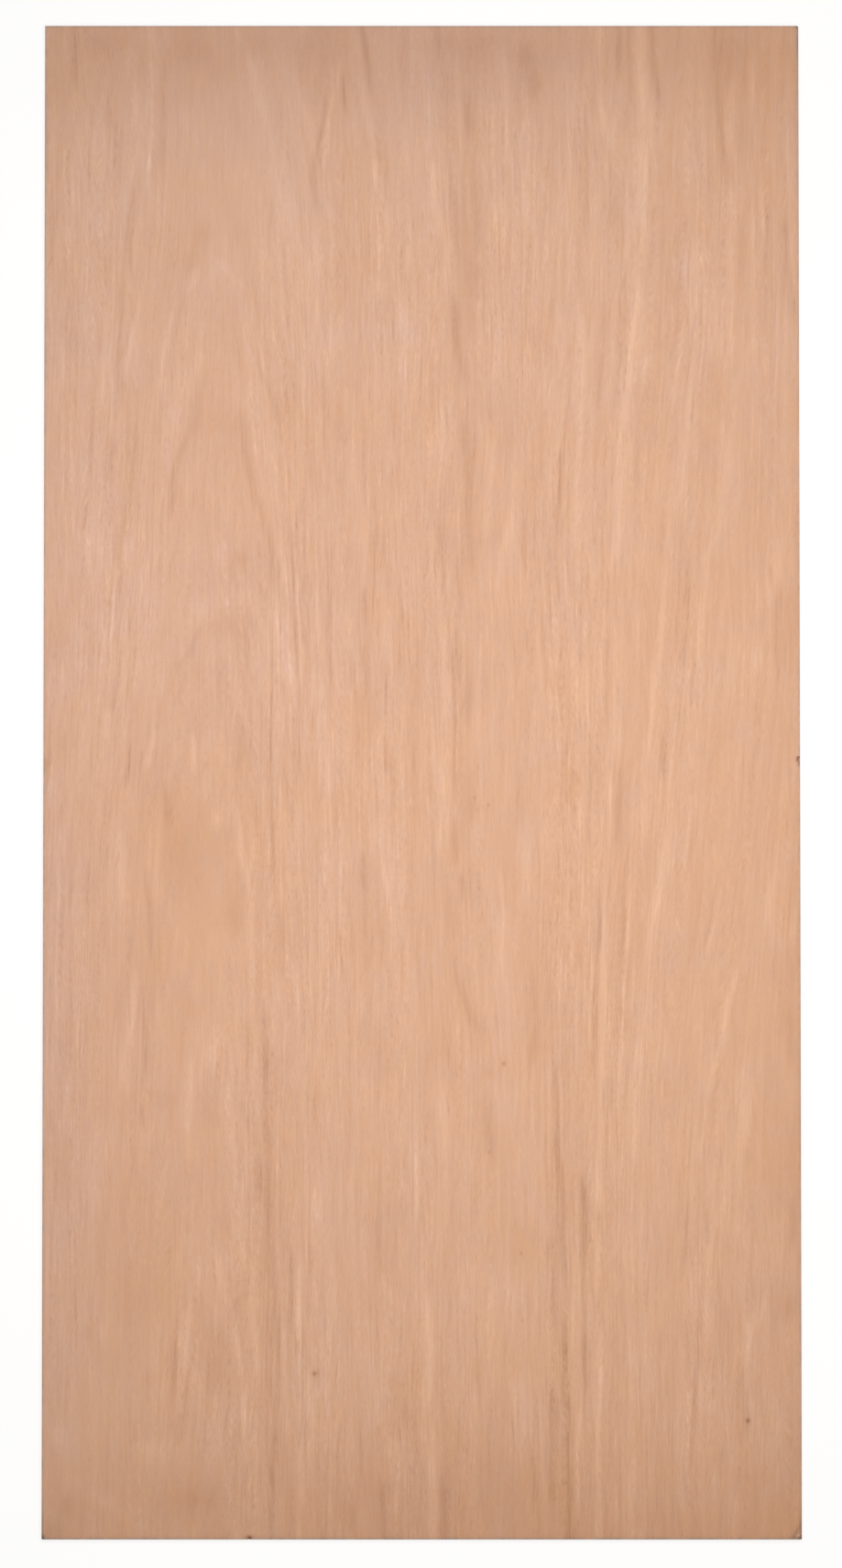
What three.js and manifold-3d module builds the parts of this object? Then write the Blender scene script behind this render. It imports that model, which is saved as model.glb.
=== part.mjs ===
// A full-size sheet of hardwood-faced plywood, 8 by 4 feet, lying flat.
//
// Frame: millimetres, +Z up. The origin is at the middle of the underside.
// +X runs across the sheet, +Y runs along it and along the grain of its faces,
// and +Z is through the thickness, so the better face looks up.
//
// The veneers of the sheet are pressed and glued into one board that never comes
// apart, so the sheet is one solid. Its section is a plain rectangle with the
// arrises just taken off by sanding. Handling has rounded the four corners, each
// by a different amount, crushed one corner of the face, and broken two shallow
// chips out of the face veneer at the edges.

import * as THREE from "three";
import { mergeVertices } from "three/addons/utils/BufferGeometryUtils.js";
import { ConvexGeometry } from "three/addons/geometries/ConvexGeometry.js";
import Module from "manifold-3d";

// The sheet.
const SHEET_WIDTH = 1220; // X, across the face grain
const SHEET_LENGTH = 2440; // Y, along the face grain
const SHEET_THICKNESS = 18; // Z
const ARRIS = 0.5; // how far sanding has eased each sawn arris
const ARRIS_STEPS = 2; // facets round an arris

// Radius of each corner in plan, as worn by handling.
const CORNER_LEFT_LOW = 2.0;
const CORNER_RIGHT_LOW = 1.6;
const CORNER_RIGHT_HIGH = 3.0;
const CORNER_LEFT_HIGH = 0.9;
const CORNER_STEPS = 3; // half the number of facets round a corner

// Chip in the right-hand edge of the face: where its middle is along the edge,
// how long it is, how far it reaches in from the edge, and how deep it is.
const SIDE_CHIP_Y = 32;
const SIDE_CHIP_LENGTH = 16;
const SIDE_CHIP_REACH = 6.0;
const SIDE_CHIP_DEPTH = 1.7;

// Chip in the lower end of the face, by the same measures.
const END_CHIP_X = -276.5;
const END_CHIP_LENGTH = 11;
const END_CHIP_REACH = 5.6;
const END_CHIP_DEPTH = 1.6;

// Crushed corner of the face, low on the right: its legs along the end and along
// the side, and how far the face is pressed down at the tip.
const CRUSH_ALONG_END = 13;
const CRUSH_ALONG_SIDE = 21;
const CRUSH_DEPTH = 1.1;

const HALF_W = SHEET_WIDTH / 2;
const HALF_L = SHEET_LENGTH / 2;
const FACE_Z = SHEET_THICKNESS; // height of the upper face
const CLEAR = 2; // how far a cutter runs out past the edge it cuts
const LIFT = 0.5; // how far a cutter runs out above the face

const wasm = await Module();
wasm.setup();

// A closed three.js geometry as a manifold-3d solid.
function toSolid(geometry) {
  const g = geometry.clone();
  g.deleteAttribute("normal");
  g.deleteAttribute("uv");
  const merged = mergeVertices(g, 1e-4);
  return new wasm.Manifold(
    new wasm.Mesh({
      numProp: 3,
      vertProperties: new Float32Array(merged.attributes.position.array),
      triVerts: new Uint32Array(merged.index.array),
    }),
  );
}

// A manifold-3d solid as a three.js geometry.
function toGeometry(solid) {
  const m = solid.getMesh();
  const xyz = new Float32Array(m.numVert * 3);
  for (let i = 0; i < m.numVert; i++)
    for (let k = 0; k < 3; k++)
      xyz[3 * i + k] = m.vertProperties[m.numProp * i + k];
  const g = new THREE.BufferGeometry();
  g.setAttribute("position", new THREE.BufferAttribute(xyz, 3));
  g.setIndex(new THREE.BufferAttribute(new Uint32Array(m.triVerts), 1));
  g.computeVertexNormals();
  return g;
}

// Plan outline of the sheet, anticlockwise from the lower left corner.
function sheetOutline() {
  const ll = CORNER_LEFT_LOW,
    rl = CORNER_RIGHT_LOW,
    rh = CORNER_RIGHT_HIGH,
    lh = CORNER_LEFT_HIGH;
  const s = new THREE.Shape();
  s.moveTo(-HALF_W + ll, -HALF_L);
  s.lineTo(HALF_W - rl, -HALF_L);
  s.absarc(HALF_W - rl, -HALF_L + rl, rl, -Math.PI / 2, 0, false);
  s.lineTo(HALF_W, HALF_L - rh);
  s.absarc(HALF_W - rh, HALF_L - rh, rh, 0, Math.PI / 2, false);
  s.lineTo(-HALF_W + lh, HALF_L);
  s.absarc(-HALF_W + lh, HALF_L - lh, lh, Math.PI / 2, Math.PI, false);
  s.lineTo(-HALF_W, -HALF_L + ll);
  s.absarc(-HALF_W + ll, -HALF_L + ll, ll, Math.PI, 1.5 * Math.PI, false);
  return s;
}

// The board: its outline carried through the thickness, with the arrises eased.
function boardGeometry() {
  const g = new THREE.ExtrudeGeometry(sheetOutline(), {
    depth: SHEET_THICKNESS - 2 * ARRIS,
    curveSegments: CORNER_STEPS,
    bevelEnabled: true,
    bevelThickness: ARRIS,
    bevelSize: ARRIS,
    bevelOffset: -ARRIS,
    bevelSegments: ARRIS_STEPS,
  });
  g.translate(0, 0, ARRIS);
  return g;
}

// The wedge of wood missing at a chip. It is worked out for an edge along X with
// the wood on the +Y side, as [along, in, height] from the middle of the chip at
// the arris, and then turned and moved into place.
function chipCutter(length, reach, depth) {
  const h = length / 2;
  const p = [
    // the rim, a little above the face
    [-h * 1.08, -CLEAR, LIFT],
    [-h * 0.82, reach * 0.42, LIFT],
    [-h * 0.3, reach * 1.02, LIFT],
    [h * 0.22, reach * 1.08, LIFT],
    [h * 0.74, reach * 0.55, LIFT],
    [h * 1.04, -CLEAR, LIFT],
    // the torn floor
    [-h * 0.62, -CLEAR, -depth * 0.86],
    [h * 0.5, -CLEAR, -depth],
    [-h * 0.3, reach * 0.45, -depth * 0.7],
    [h * 0.26, reach * 0.56, -depth * 0.62],
  ];
  return new ConvexGeometry(p.map((q) => new THREE.Vector3(...q)));
}

// The wedge pressed down at the crushed corner.
function crushCutter() {
  const x = HALF_W + CLEAR,
    y = -HALF_L - CLEAR;
  const p = [
    [x - CRUSH_ALONG_END - CLEAR, y, FACE_Z + LIFT],
    [x, y + CRUSH_ALONG_SIDE + CLEAR, FACE_Z + LIFT],
    [x, y, FACE_Z + LIFT],
    [x, y, FACE_Z - CRUSH_DEPTH * 1.3],
    [x - CRUSH_ALONG_END * 0.55, y, FACE_Z - CRUSH_DEPTH * 0.62],
    [x, y + CRUSH_ALONG_SIDE * 0.5, FACE_Z - CRUSH_DEPTH * 0.7],
  ];
  return new ConvexGeometry(p.map((q) => new THREE.Vector3(...q)));
}

function plywoodSheet() {
  const sideChip = chipCutter(SIDE_CHIP_LENGTH, SIDE_CHIP_REACH, SIDE_CHIP_DEPTH);
  sideChip.rotateZ(Math.PI / 2); // the edge now runs along Y, with the wood at -X
  sideChip.translate(HALF_W, SIDE_CHIP_Y, FACE_Z);

  const endChip = chipCutter(END_CHIP_LENGTH, END_CHIP_REACH, END_CHIP_DEPTH);
  endChip.translate(END_CHIP_X, -HALF_L, FACE_Z);

  return toGeometry(
    toSolid(boardGeometry())
      .subtract(toSolid(sideChip))
      .subtract(toSolid(endChip))
      .subtract(toSolid(crushCutter())),
  );
}

const sheet = new THREE.Mesh(
  plywoodSheet(),
  new THREE.MeshStandardMaterial({
    color: 0xd8aa8c,
    roughness: 0.62,
    metalness: 0,
  }),
);
sheet.name = "plywood_sheet";

const group = new THREE.Group();
group.name = "plywood";
group.add(sheet);

export default group;
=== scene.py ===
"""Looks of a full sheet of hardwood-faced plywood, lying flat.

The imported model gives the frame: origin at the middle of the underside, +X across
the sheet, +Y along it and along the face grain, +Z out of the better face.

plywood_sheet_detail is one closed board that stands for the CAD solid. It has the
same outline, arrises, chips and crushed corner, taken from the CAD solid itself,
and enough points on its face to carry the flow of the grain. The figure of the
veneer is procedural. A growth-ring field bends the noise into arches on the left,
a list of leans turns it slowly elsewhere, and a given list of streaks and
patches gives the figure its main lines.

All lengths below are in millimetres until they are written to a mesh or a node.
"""

import math

import bpy
import numpy as np
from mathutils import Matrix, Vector
from mathutils.bvhtree import BVHTree


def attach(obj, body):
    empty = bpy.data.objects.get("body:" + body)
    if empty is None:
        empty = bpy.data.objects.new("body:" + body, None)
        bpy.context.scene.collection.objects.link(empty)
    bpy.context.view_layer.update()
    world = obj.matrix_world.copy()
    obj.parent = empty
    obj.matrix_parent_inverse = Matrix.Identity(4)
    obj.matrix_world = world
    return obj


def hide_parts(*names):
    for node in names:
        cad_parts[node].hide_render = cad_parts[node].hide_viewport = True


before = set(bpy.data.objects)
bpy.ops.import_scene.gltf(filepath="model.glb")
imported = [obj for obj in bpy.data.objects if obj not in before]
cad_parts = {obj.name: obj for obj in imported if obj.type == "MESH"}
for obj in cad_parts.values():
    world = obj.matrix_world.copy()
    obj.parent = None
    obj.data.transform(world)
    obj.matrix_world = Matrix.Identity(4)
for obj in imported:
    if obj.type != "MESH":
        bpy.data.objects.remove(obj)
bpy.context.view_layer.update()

MM = 0.001
W, L, T = 1220.0, 2440.0, 18.0  # the sheet
HW, HL = W / 2, L / 2
ARRIS = 0.5
# plan radius of each corner: (side of x, side of y) -> radius
CORNERS = {(-1, -1): 2.0, (1, -1): 1.6, (1, 1): 3.0, (-1, 1): 0.9}
CHIP_SIDE = (HW, 32.0)  # chip in the right-hand arris
CHIP_END = (-276.5, -HL)  # chip in the arris of the lower end
FACE_PLY = 0.55  # thickness of each face veneer
CORE_PLIES = 11

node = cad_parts["plywood_sheet"]


# ---------------------------------------------------------------- small maths


def smooth(x, lo, hi):
    t = np.clip((x - lo) / (hi - lo), 0.0, 1.0)
    return t * t * (3 - 2 * t)


def bell(x, y, x0, y0, sx, sy, lean=0.0):
    """A soft round or long spot. lean is how far it drifts in x for each mm of y."""
    dy = y - y0
    return np.exp(-0.5 * (((x - x0 - lean * dy) / sx) ** 2 + (dy / sy) ** 2))


def ripple(x, y, seed, wx, wy, n=7):
    """Slow, smooth, repeatable wander of about unit size, from a few sine waves."""
    rng = np.random.default_rng(seed)
    out = np.zeros(np.broadcast(x, y).shape)
    for _ in range(n):
        a, b, p = rng.normal(size=2).tolist() + [rng.uniform(0, 2 * math.pi)]
        out += np.sin(a * x * 2 / wx + b * y * 2 / wy + p)
    return out * math.sqrt(2.0 / n)


# ------------------------------------------------------------- figure of the face

# How the grain leans, as soft patches of (x, y, reach in x, reach in y, lean),
# where lean is the drift to the right for each mm of rise.
LEANS = [
    (470, 620, 80, 300, 0.045),
    (375, 560, 45, 330, 0.045),
    (440, 60, 80, 260, 0.055),
    (500, -300, 55, 170, 0.075),
    (395, -230, 50, 200, 0.045),
    (470, -640, 80, 170, 0.04),
    (230, 700, 50, 170, 0.055),
    (560, 20, 40, 200, 0.04),
    (300, -300, 35, 130, 0.03),
    (30, 540, 32, 110, 0.075),
    (125, 470, 40, 70, 0.04),
    (80, 320, 30, 50, -0.06),
    (200, 310, 40, 60, -0.04),
    (20, 200, 25, 90, -0.04),
    (80, -360, 30, 70, -0.10),
]
# How the fibres lean beside the arches, where the growth rings lean much more.
FIBRE_LEANS = [
    (-400, 760, 55, 180, 0.085),
    (-465, 600, 50, 260, 0.04),
    (-470, 60, 50, 170, 0.075),
    (-268, 560, 35, 230, -0.07),
    (-222, 900, 40, 120, -0.04),
    (-228, 200, 40, 280, -0.025),
    (-520, -250, 50, 260, 0.025),
    (-380, -1000, 35, 110, 0.04),
]
ARCH_X = -333.0  # middle of the arches
ARCH_ROUND = 30.0  # how round their tops are
ARCH_DRIFT = 0.012


def rise(y):
    """How far the growth rings have climbed at y: slow at the bottom, quick above."""
    t = np.linspace(-HL - 20, HL + 20, 600)
    step = 0.11 + 0.29 * smooth(t, -470, 130)
    total = np.concatenate([[0], np.cumsum((step[1:] + step[:-1]) / 2 * np.diff(t))])
    return np.interp(y, t, total)


def ring_curve(d):
    far = np.maximum(d - 260.0, 0)
    return np.sqrt(ARCH_ROUND**2 + d * d) - ARCH_ROUND + ARCH_DRIFT * d * d / 2 + 0.022 * far * far


def ring_flow(x, y):
    """(distance across the growth rings, side of the arches) at each point."""
    xc = ARCH_X + 5 * np.sin(y / 260.0 + 0.6) + 3 * np.sin(y / 97.0)
    d = x - xc
    s = np.linspace(0, 1800, 9000)
    v = np.interp(ring_curve(np.abs(d)) + rise(y), ring_curve(s), s)
    return v, d


def leaning(xs, ys, leans, firm=250.0):
    """x carried along the grain, at each grid point: a field whose level lines follow
    the leans. Lines that only follow them bunch up and thin out on their way down the
    sheet, so this is the least-squares best of two wishes: level lines along the
    grain (firm) and an even spacing across it."""
    gx = np.linspace(-HW - 90, HW + 90, 141)
    gy = np.linspace(-HL - 40, HL + 40, 126)
    hx, hy = gx[1] - gx[0], gy[1] - gy[0]
    # beyond the edges of the sheet the grain runs on as it does just inside them
    px, py = np.meshgrid(np.clip(gx, -HW + 30, HW - 30), (gy[1:] + gy[:-1]) / 2)
    lean = np.zeros_like(px)
    for x0, y0, sx, sy, k in leans:
        lean += k * bell(px, py, x0, y0, sx, sy)
    w = math.sqrt(firm)

    def slopes(c):
        cx = np.gradient(c, hx, axis=1)
        along = np.diff(c, axis=0) / hy + lean * (cx[1:] + cx[:-1]) / 2
        return np.diff(c, axis=1) / hx, w * along

    def gather(p, q):  # the transpose of slopes
        out = np.zeros((len(gy), len(gx)))
        out[:, 1:] += p / hx
        out[:, :-1] -= p / hx
        q = w * q
        out[1:] += q / hy
        out[:-1] -= q / hy
        t = np.zeros_like(out)
        t[1:] += lean * q / 2
        t[:-1] += lean * q / 2
        out[:, 2:] += t[:, 1:-1] / (2 * hx)
        out[:, :-2] -= t[:, 1:-1] / (2 * hx)
        for k0, k1, column in ((0, 1, 0), (-2, -1, -1)):
            out[:, k1] += t[:, column] / hx
            out[:, k0] -= t[:, column] / hx
        return out

    # conjugate gradients
    c = np.repeat(gx[None], len(gy), 0)
    p, q = slopes(c)
    p, q = 1 - p, -q
    step = s = gather(p, q)
    size = first = (s * s).sum()
    for _ in range(1600):
        dp, dq = slopes(step)
        k = size / ((dp * dp).sum() + (dq * dq).sum())
        c = c + k * step
        p, q = p - k * dp, q - k * dq
        s = gather(p, q)
        now = (s * s).sum()
        step = s + (now / size) * step
        size = now
        if size < 1e-10 * first:
            break
    rows = np.array([np.interp(xs, gx, row) for row in c])
    j = np.clip(np.searchsorted(gy, ys) - 1, 0, len(gy) - 2)
    t = ((ys - gy[j]) / hy)[:, None]
    return rows[j] * (1 - t) + rows[j + 1] * t


# Streaks of the figure: (shade, half-width, points down the sheet). Shade counts in
# steps of GRADE, dark below 0 and light above.
GRADE = 0.020
STREAKS = [
    # upper left: the first arch and the leaning grain beside it
    (-4, 3.0, [(-563, 1205), (-561, 1120)]),
    (-4, 3.0, [(-510, 1110), (-502, 1060)]),
    (3, 3.0, [(-516, 1050), (-514, 955)]),
    (-2, 2.0, [(-586, 1000), (-588, 900)]),
    (3, 3.0, [(-437, 1195), (-437, 1050), (-441, 950)]),
    (3, 2.0, [(-441, 1010), (-442, 955)]),
    (2, 3.0, [(-461, 1125), (-464, 1030), (-469, 960)]),
    (-4, 4.0, [(-464, 975), (-472, 900), (-477, 835)]),
    (2, 4.0, [(-453, 935), (-461, 840)]),
    (-3, 3.0, [(-418, 1155), (-417, 1060), (-421, 985)]),
    (2, 4.0, [(-294, 1205), (-273, 1150), (-267, 1110), (-253, 1065)]),
    (4, 4.0, [(-191, 1115), (-182, 1060), (-177, 1015)]),
    (-5, 3.0, [(-153, 1108), (-156, 1085), (-163, 1050), (-171, 1012)]),
    (-5, 3.0, [(-130, 1142), (-128, 1115), (-125, 1085)]),
    (4, 3.0, [(-135, 1155), (-140, 1120), (-146, 1090), (-153, 1050), (-158, 990)]),
    (-5, 4.0, [(-176, 1005), (-177, 965), (-171, 925)]),
    (3, 2.0, [(-152, 922), (-145, 890), (-134, 835)]),
    (-6, 4.0, [(-96, 1210), (-89, 1160), (-84, 1115)]),
    (3, 4.0, [(-100, 1130), (-92, 1080), (-83, 1030)]),
    (4, 3.0, [(-76, 1005), (-76, 945)]),
    (-3, 4.0, [(-596, 925), (-600, 830)]),
    (-3, 4.0, [(-378, 835), (-391, 765), (-403, 710), (-413, 665)]),
    (3, 3.0, [(-403, 760), (-414, 700), (-424, 620)]),
    (2, 4.0, [(-321, 830), (-301, 805), (-279, 790), (-270, 745), (-262, 700), (-254, 630)]),
    (-4, 3.0, [(-272, 710), (-262, 665), (-251, 625)]),
    (4, 3.0, [(-72, 925), (-70, 850)]),
    (3, 3.0, [(-58, 940), (-54, 865)]),
    (3, 3.0, [(-148, 745), (-149, 635)]),
    (3, 3.0, [(-510, 775), (-514, 700), (-518, 610)]),
    (4, 4.0, [(-467, 735), (-476, 655)]),
    (-2, 3.0, [(-530, 745), (-534, 520)]),
    (2, 3.0, [(-232, 880), (-227, 815)]),
    (-3, 3.0, [(-159, 740), (-157, 540)]),
    # left: the second and third arches
    (-4, 5.0, [(-354, 650), (-363, 610), (-372, 560), (-388, 530), (-400, 490), (-405, 430)]),
    (-3, 3.0, [(-392, 525), (-402, 480), (-405, 430)]),
    (-4, 5.0, [(-292, 600), (-290, 545), (-282, 505), (-270, 470), (-255, 415)]),
    (-2, 3.0, [(-290, 570), (-286, 520)]),
    (3, 3.0, [(-280, 600), (-269, 540), (-256, 480)]),
    (2, 2.0, [(-237, 575), (-224, 515), (-211, 455), (-207, 405)]),
    (-6, 2.5, [(-213, 400), (-210, 355), (-207, 300), (-205, 250), (-202, 200), (-199, 150), (-197, 80), (-197, 30)]),
    (6, 2.0, [(-206, 372), (-203, 340), (-200, 300), (-198, 250), (-196, 200), (-194, 150)]),
    (3, 5.0, [(-225, 385), (-222, 310)]),
    (2, 4.0, [(-238, 290), (-234, 210)]),
    (-3, 3.0, [(-244, 395), (-240, 305)]),
    (4, 3.0, [(-170, 312), (-167, 270), (-167, 232)]),
    (3, 2.0, [(-177, 162), (-177, 112)]),
    (-3, 3.0, [(-190, 248), (-186, 210)]),
    (-4, 3.0, [(-151, 325), (-148, 290), (-149, 240), (-147, 195), (-146, 160)]),
    (4, 2.0, [(-142, 285), (-142, 235)]),
    (-4, 3.0, [(-92, 305), (-92, 250)]),
    (3, 3.0, [(-86, 470), (-94, 330)]),
    (-4, 2.0, [(-74, 470), (-75, 335), (-79, 255)]),
    (-4, 3.0, [(-117, 205), (-114, 150)]),
    (-3, 2.0, [(-92, 220), (-91, 140)]),
    (4, 2.0, [(-492, 330), (-496, 280), (-502, 215)]),
    (-4, 2.0, [(-484, 335), (-488, 305), (-490, 270)]),
    (-3, 2.0, [(-495, 165), (-500, 110)]),
    (4, 4.0, [(-505, 112), (-511, 70)]),
    (-4, 4.0, [(-363, 242), (-369, 215), (-378, 192), (-396, 184)]),
    (3, 3.0, [(-359, 278), (-364, 246)]),
    (-3, 4.0, [(-380, 168), (-386, 146), (-396, 126)]),
    (-5, 3.0, [(-441, 82), (-447, 50), (-452, 20), (-457, -28)]),
    (5, 4.0, [(-432, 72), (-437, 48), (-441, 20)]),
    (-6, 3.0, [(-470, 52), (-474, 18), (-480, -12)]),
    (5, 4.0, [(-369, 68), (-367, 12)]),
    (-3, 3.0, [(-56, 175), (-55, 110)]),
    (-6, 4.0, [(-58, 60), (-56, 10)]),
    (3, 3.0, [(-500, 770), (-502, 560)]),
    (-3, 2.0, [(-482, 810), (-503, 490)]),
    # left of the middle: the long dark seam and the streaks beside it
    (-5, 3.0, [(-243, 125), (-243, 10), (-241, -60), (-239, -110), (-238, -190)]),
    (-4, 4.0, [(-411, -10), (-407, -70)]),
    (5, 4.0, [(-299, -50), (-292, -100), (-284, -150), (-278, -185)]),
    (4, 4.0, [(-272, -100), (-277, -230), (-275, -320)]),
    (-3, 3.0, [(-267, -30), (-265, -90)]),
    (4, 5.0, [(-422, -80), (-427, -130), (-428, -195)]),
    (3, 4.0, [(-487, -80), (-487, -150), (-482, -200)]),
    (-3, 3.0, [(-538, -140), (-540, -215)]),
    (-4, 3.0, [(-469, -260), (-474, -335)]),
    (4, 5.0, [(-463, -310), (-466, -380), (-475, -430), (-481, -500)]),
    (-3, 3.0, [(-445, -150), (-438, -240), (-435, -310)]),
    (-3, 3.0, [(-447, -320), (-445, -480)]),
    (-5, 4.0, [(-256, -370), (-253, -440), (-252, -520), (-249, -600), (-246, -690), (-241, -780), (-235, -840), (-232, -920), (-233, -1010)]),
    (-3, 3.0, [(-233, -1000), (-237, -1080), (-242, -1150), (-244, -1220)]),
    (-4, 3.0, [(-246, -840), (-245, -1000), (-244, -1080), (-238, -1150)]),
    (-4, 3.0, [(-281, -395), (-283, -475)]),
    (-2, 3.0, [(-283, -290), (-282, -400)]),
    (3, 8.0, [(-323, -455), (-318, -500), (-311, -550), (-303, -600), (-297, -670), (-299, -760)]),
    (2, 3.0, [(-320, -470), (-313, -530), (-303, -600), (-300, -640)]),
    (3, 5.0, [(-372, -460), (-377, -530), (-370, -610)]),
    (-4, 4.0, [(-449, -525), (-446, -560)]),
    (-4, 4.0, [(-594, -505), (-594, -570)]),
    (3, 3.0, [(-76, -80), (-66, -130), (-57, -170), (-49, -245)]),
    (-3, 4.0, [(-95, -120), (-93, -175)]),
    (-2, 3.0, [(-138, -10), (-139, -290)]),
    (2, 3.0, [(-128, 25), (-128, -290)]),
    (2, 3.0, [(-231, 0), (-229, -200)]),
    (3, 3.0, [(-277, -330), (-262, -540), (-254, -620)]),
    # lower left
    (-5, 4.0, [(-262, -605), (-260, -675)]),
    (4, 4.0, [(-272, -790), (-271, -860), (-266, -920), (-266, -975)]),
    (4, 3.0, [(-263, -1020), (-265, -1100), (-269, -1190)]),
    (5, 3.0, [(-299, -875), (-293, -925), (-288, -985), (-285, -1045)]),
    (3, 5.0, [(-328, -765), (-320, -835)]),
    (5, 6.0, [(-374, -860), (-381, -930), (-387, -985), (-393, -1020)]),
    (-5, 3.0, [(-397, -895), (-398, -1000)]),
    (3, 3.0, [(-368, -940), (-364, -1010)]),
    (-3, 3.0, [(-375, -955), (-381, -1010), (-388, -1070)]),
    (-5, 3.0, [(-211, -760), (-210, -840), (-208, -900)]),
    (4, 5.0, [(-197, -775), (-199, -830), (-198, -895)]),
    (2, 4.0, [(-174, -640), (-170, -760), (-172, -885)]),
    (2, 4.0, [(-158, -895), (-155, -950)]),
    (4, 4.0, [(-176, -980), (-179, -1035)]),
    (4, 4.0, [(-178, -1055), (-179, -1105)]),
    (4, 4.0, [(-196, -1060), (-194, -1110)]),
    (3, 5.0, [(-193, -1120), (-196, -1215)]),
    (-3, 5.0, [(-70, -690), (-69, -765), (-62, -800)]),
    (-3, 3.0, [(-97, -1035), (-95, -1100), (-90, -1155)]),
    (-5, 4.0, [(-64, -1140), (-63, -1210)]),
    (2, 3.0, [(-220, -880), (-219, -1060)]),
    (-3, 3.0, [(-464, -600), (-472, -690)]),
    # top middle
    (3, 9.0, [(3, 1200), (10, 1020)]),
    (5, 5.0, [(20, 995), (21, 920)]),
    (4, 5.0, [(28, 920), (33, 875)]),
    (4, 4.0, [(40, 880), (40, 785)]),
    (-3, 4.0, [(28, 1195), (37, 1130), (41, 1060), (45, 1000), (50, 930), (53, 880)]),
    (-5, 6.0, [(74, 1110), (76, 1045)]),
    (-3, 4.0, [(90, 955), (91, 880), (88, 835), (89, 780)]),
    (3, 2.0, [(56, 1155), (60, 1060), (65, 995)]),
    (-5, 5.0, [(52, 780), (55, 720), (60, 690), (69, 650)]),
    (3, 5.0, [(133, 1175), (136, 1100), (138, 995)]),
    (3, 3.0, [(114, 1090), (116, 1030), (120, 960)]),
    (4, 4.0, [(121, 940), (120, 885)]),
    (5, 4.0, [(134, 940), (133, 850)]),
    (3, 5.0, [(170, 990), (168, 890)]),
    # top right
    (-2, 3.0, [(268, 1045), (267, 995), (256, 860), (248, 740)]),
    (3, 3.0, [(240, 1000), (232, 880)]),
    (4, 4.0, [(290, 1195), (291, 1100), (297, 1060), (303, 1030)]),
    (-4, 3.0, [(318, 1215), (319, 1120)]),
    (-3, 4.0, [(335, 1210), (337, 1095)]),
    (5, 6.0, [(355, 1210), (357, 1100), (362, 1040), (362, 980), (360, 890)]),
    (3, 6.0, [(358, 890), (350, 800), (343, 720), (333, 630)]),
    (-5, 5.0, [(371, 1215), (376, 1150), (383, 1090)]),
    (-4, 4.0, [(478, 1205), (478, 1120), (482, 1060), (487, 1000), (484, 950)]),
    (4, 6.0, [(499, 1125), (497, 1015)]),
    (6, 7.0, [(501, 960), (501, 910)]),
    (4, 5.0, [(504, 910), (503, 800), (499, 690)]),
    (4, 4.0, [(535, 1180), (535, 1095)]),
    (3, 3.0, [(536, 920), (537, 800), (534, 690)]),
    (5, 2.0, [(551, 945), (553, 875)]),
    (-4, 2.0, [(559, 925), (557, 870)]),
    (-6, 4.0, [(588, 910), (592, 830), (599, 745)]),
    (-3, 3.0, [(299, 800), (294, 720), (290, 660), (284, 590)]),
    (3, 5.0, [(256, 770), (262, 690), (260, 630), (255, 580)]),
    (4, 4.0, [(350, 785), (343, 715), (335, 640), (328, 600)]),
    (3, 5.0, [(283, 960), (277, 890), (272, 810)]),
    (2, 2.0, [(445, 1000), (447, 870), (441, 760)]),
    # right: the dark hook and the long light streaks
    (3, 2.0, [(202, 600), (208, 640), (221, 652)]),
    (-4, 2.0, [(239, 630), (231, 565), (225, 520), (222, 455), (217, 420), (218, 340), (224, 285)]),
    (-3, 2.5, [(225, 520), (222, 440)]),
    (3, 2.0, [(226, 610), (218, 530)]),
    (2, 3.0, [(237, 565), (230, 470), (228, 430)]),
    (-3, 2.0, [(214, 590), (205, 515)]),
    (4, 4.0, [(257, 610), (253, 470), (249, 400)]),
    (5, 6.0, [(329, 610), (322, 520), (320, 465), (319, 400), (309, 340)]),
    (4, 6.0, [(315, 250), (313, 150), (309, 40)]),
    (4, 5.0, [(109, 560), (107, 480), (105, 390)]),
    (3, 4.0, [(142, 430), (130, 360)]),
    (-5, 3.0, [(168, 415), (168, 335)]),
    (-4, 5.0, [(66, 580), (74, 500), (76, 460), (77, 390), (81, 335)]),
    (-4, 4.0, [(55, 345), (59, 300), (57, 250), (56, 140), (51, 60), (52, -30)]),
    (-3, 5.0, [(74, 160), (72, 90)]),
    (4, 6.0, [(8, 445), (12, 380), (16, 330), (25, 280), (33, 230), (39, 190), (40, 120), (38, 50), (36, -50), (34, -115)]),
    (4, 3.0, [(19, 100), (21, 20)]),
    (-3, 3.0, [(432, 320), (431, 270), (427, 220), (421, 180)]),
    (4, 4.0, [(459, 360), (455, 290), (448, 230), (444, 190)]),
    (4, 6.0, [(493, 570), (489, 480), (479, 410), (467, 360)]),
    (3, 4.0, [(432, 620), (427, 530), (419, 440)]),
    (4, 4.0, [(393, 350), (392, 290), (385, 220), (376, 150), (368, 95), (363, 30)]),
    (-6, 4.0, [(392, 70), (387, 10)]),
    (-4, 2.0, [(266, 350), (265, 290)]),
    (3, 4.0, [(261, 190), (268, 110), (271, 50)]),
    (-4, 2.0, [(299, 235), (297, 80)]),
    (2, 6.0, [(580, 400), (571, 340), (565, 290)]),
    (-3, 3.0, [(577, 310), (569, 190)]),
    (2, 3.0, [(222, 275), (213, 150), (206, 50)]),
    # right of the middle, below the centre
    (-5, 5.0, [(53, -60), (54, -130)]),
    (-4, 5.0, [(64, -150), (67, -190)]),
    (3, 7.0, [(172, -75), (170, -140), (164, -210)]),
    (3, 3.0, [(126, -150), (133, -230), (127, -310)]),
    (-4, 6.0, [(58, -315), (68, -350), (78, -382), (88, -405)]),
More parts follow.
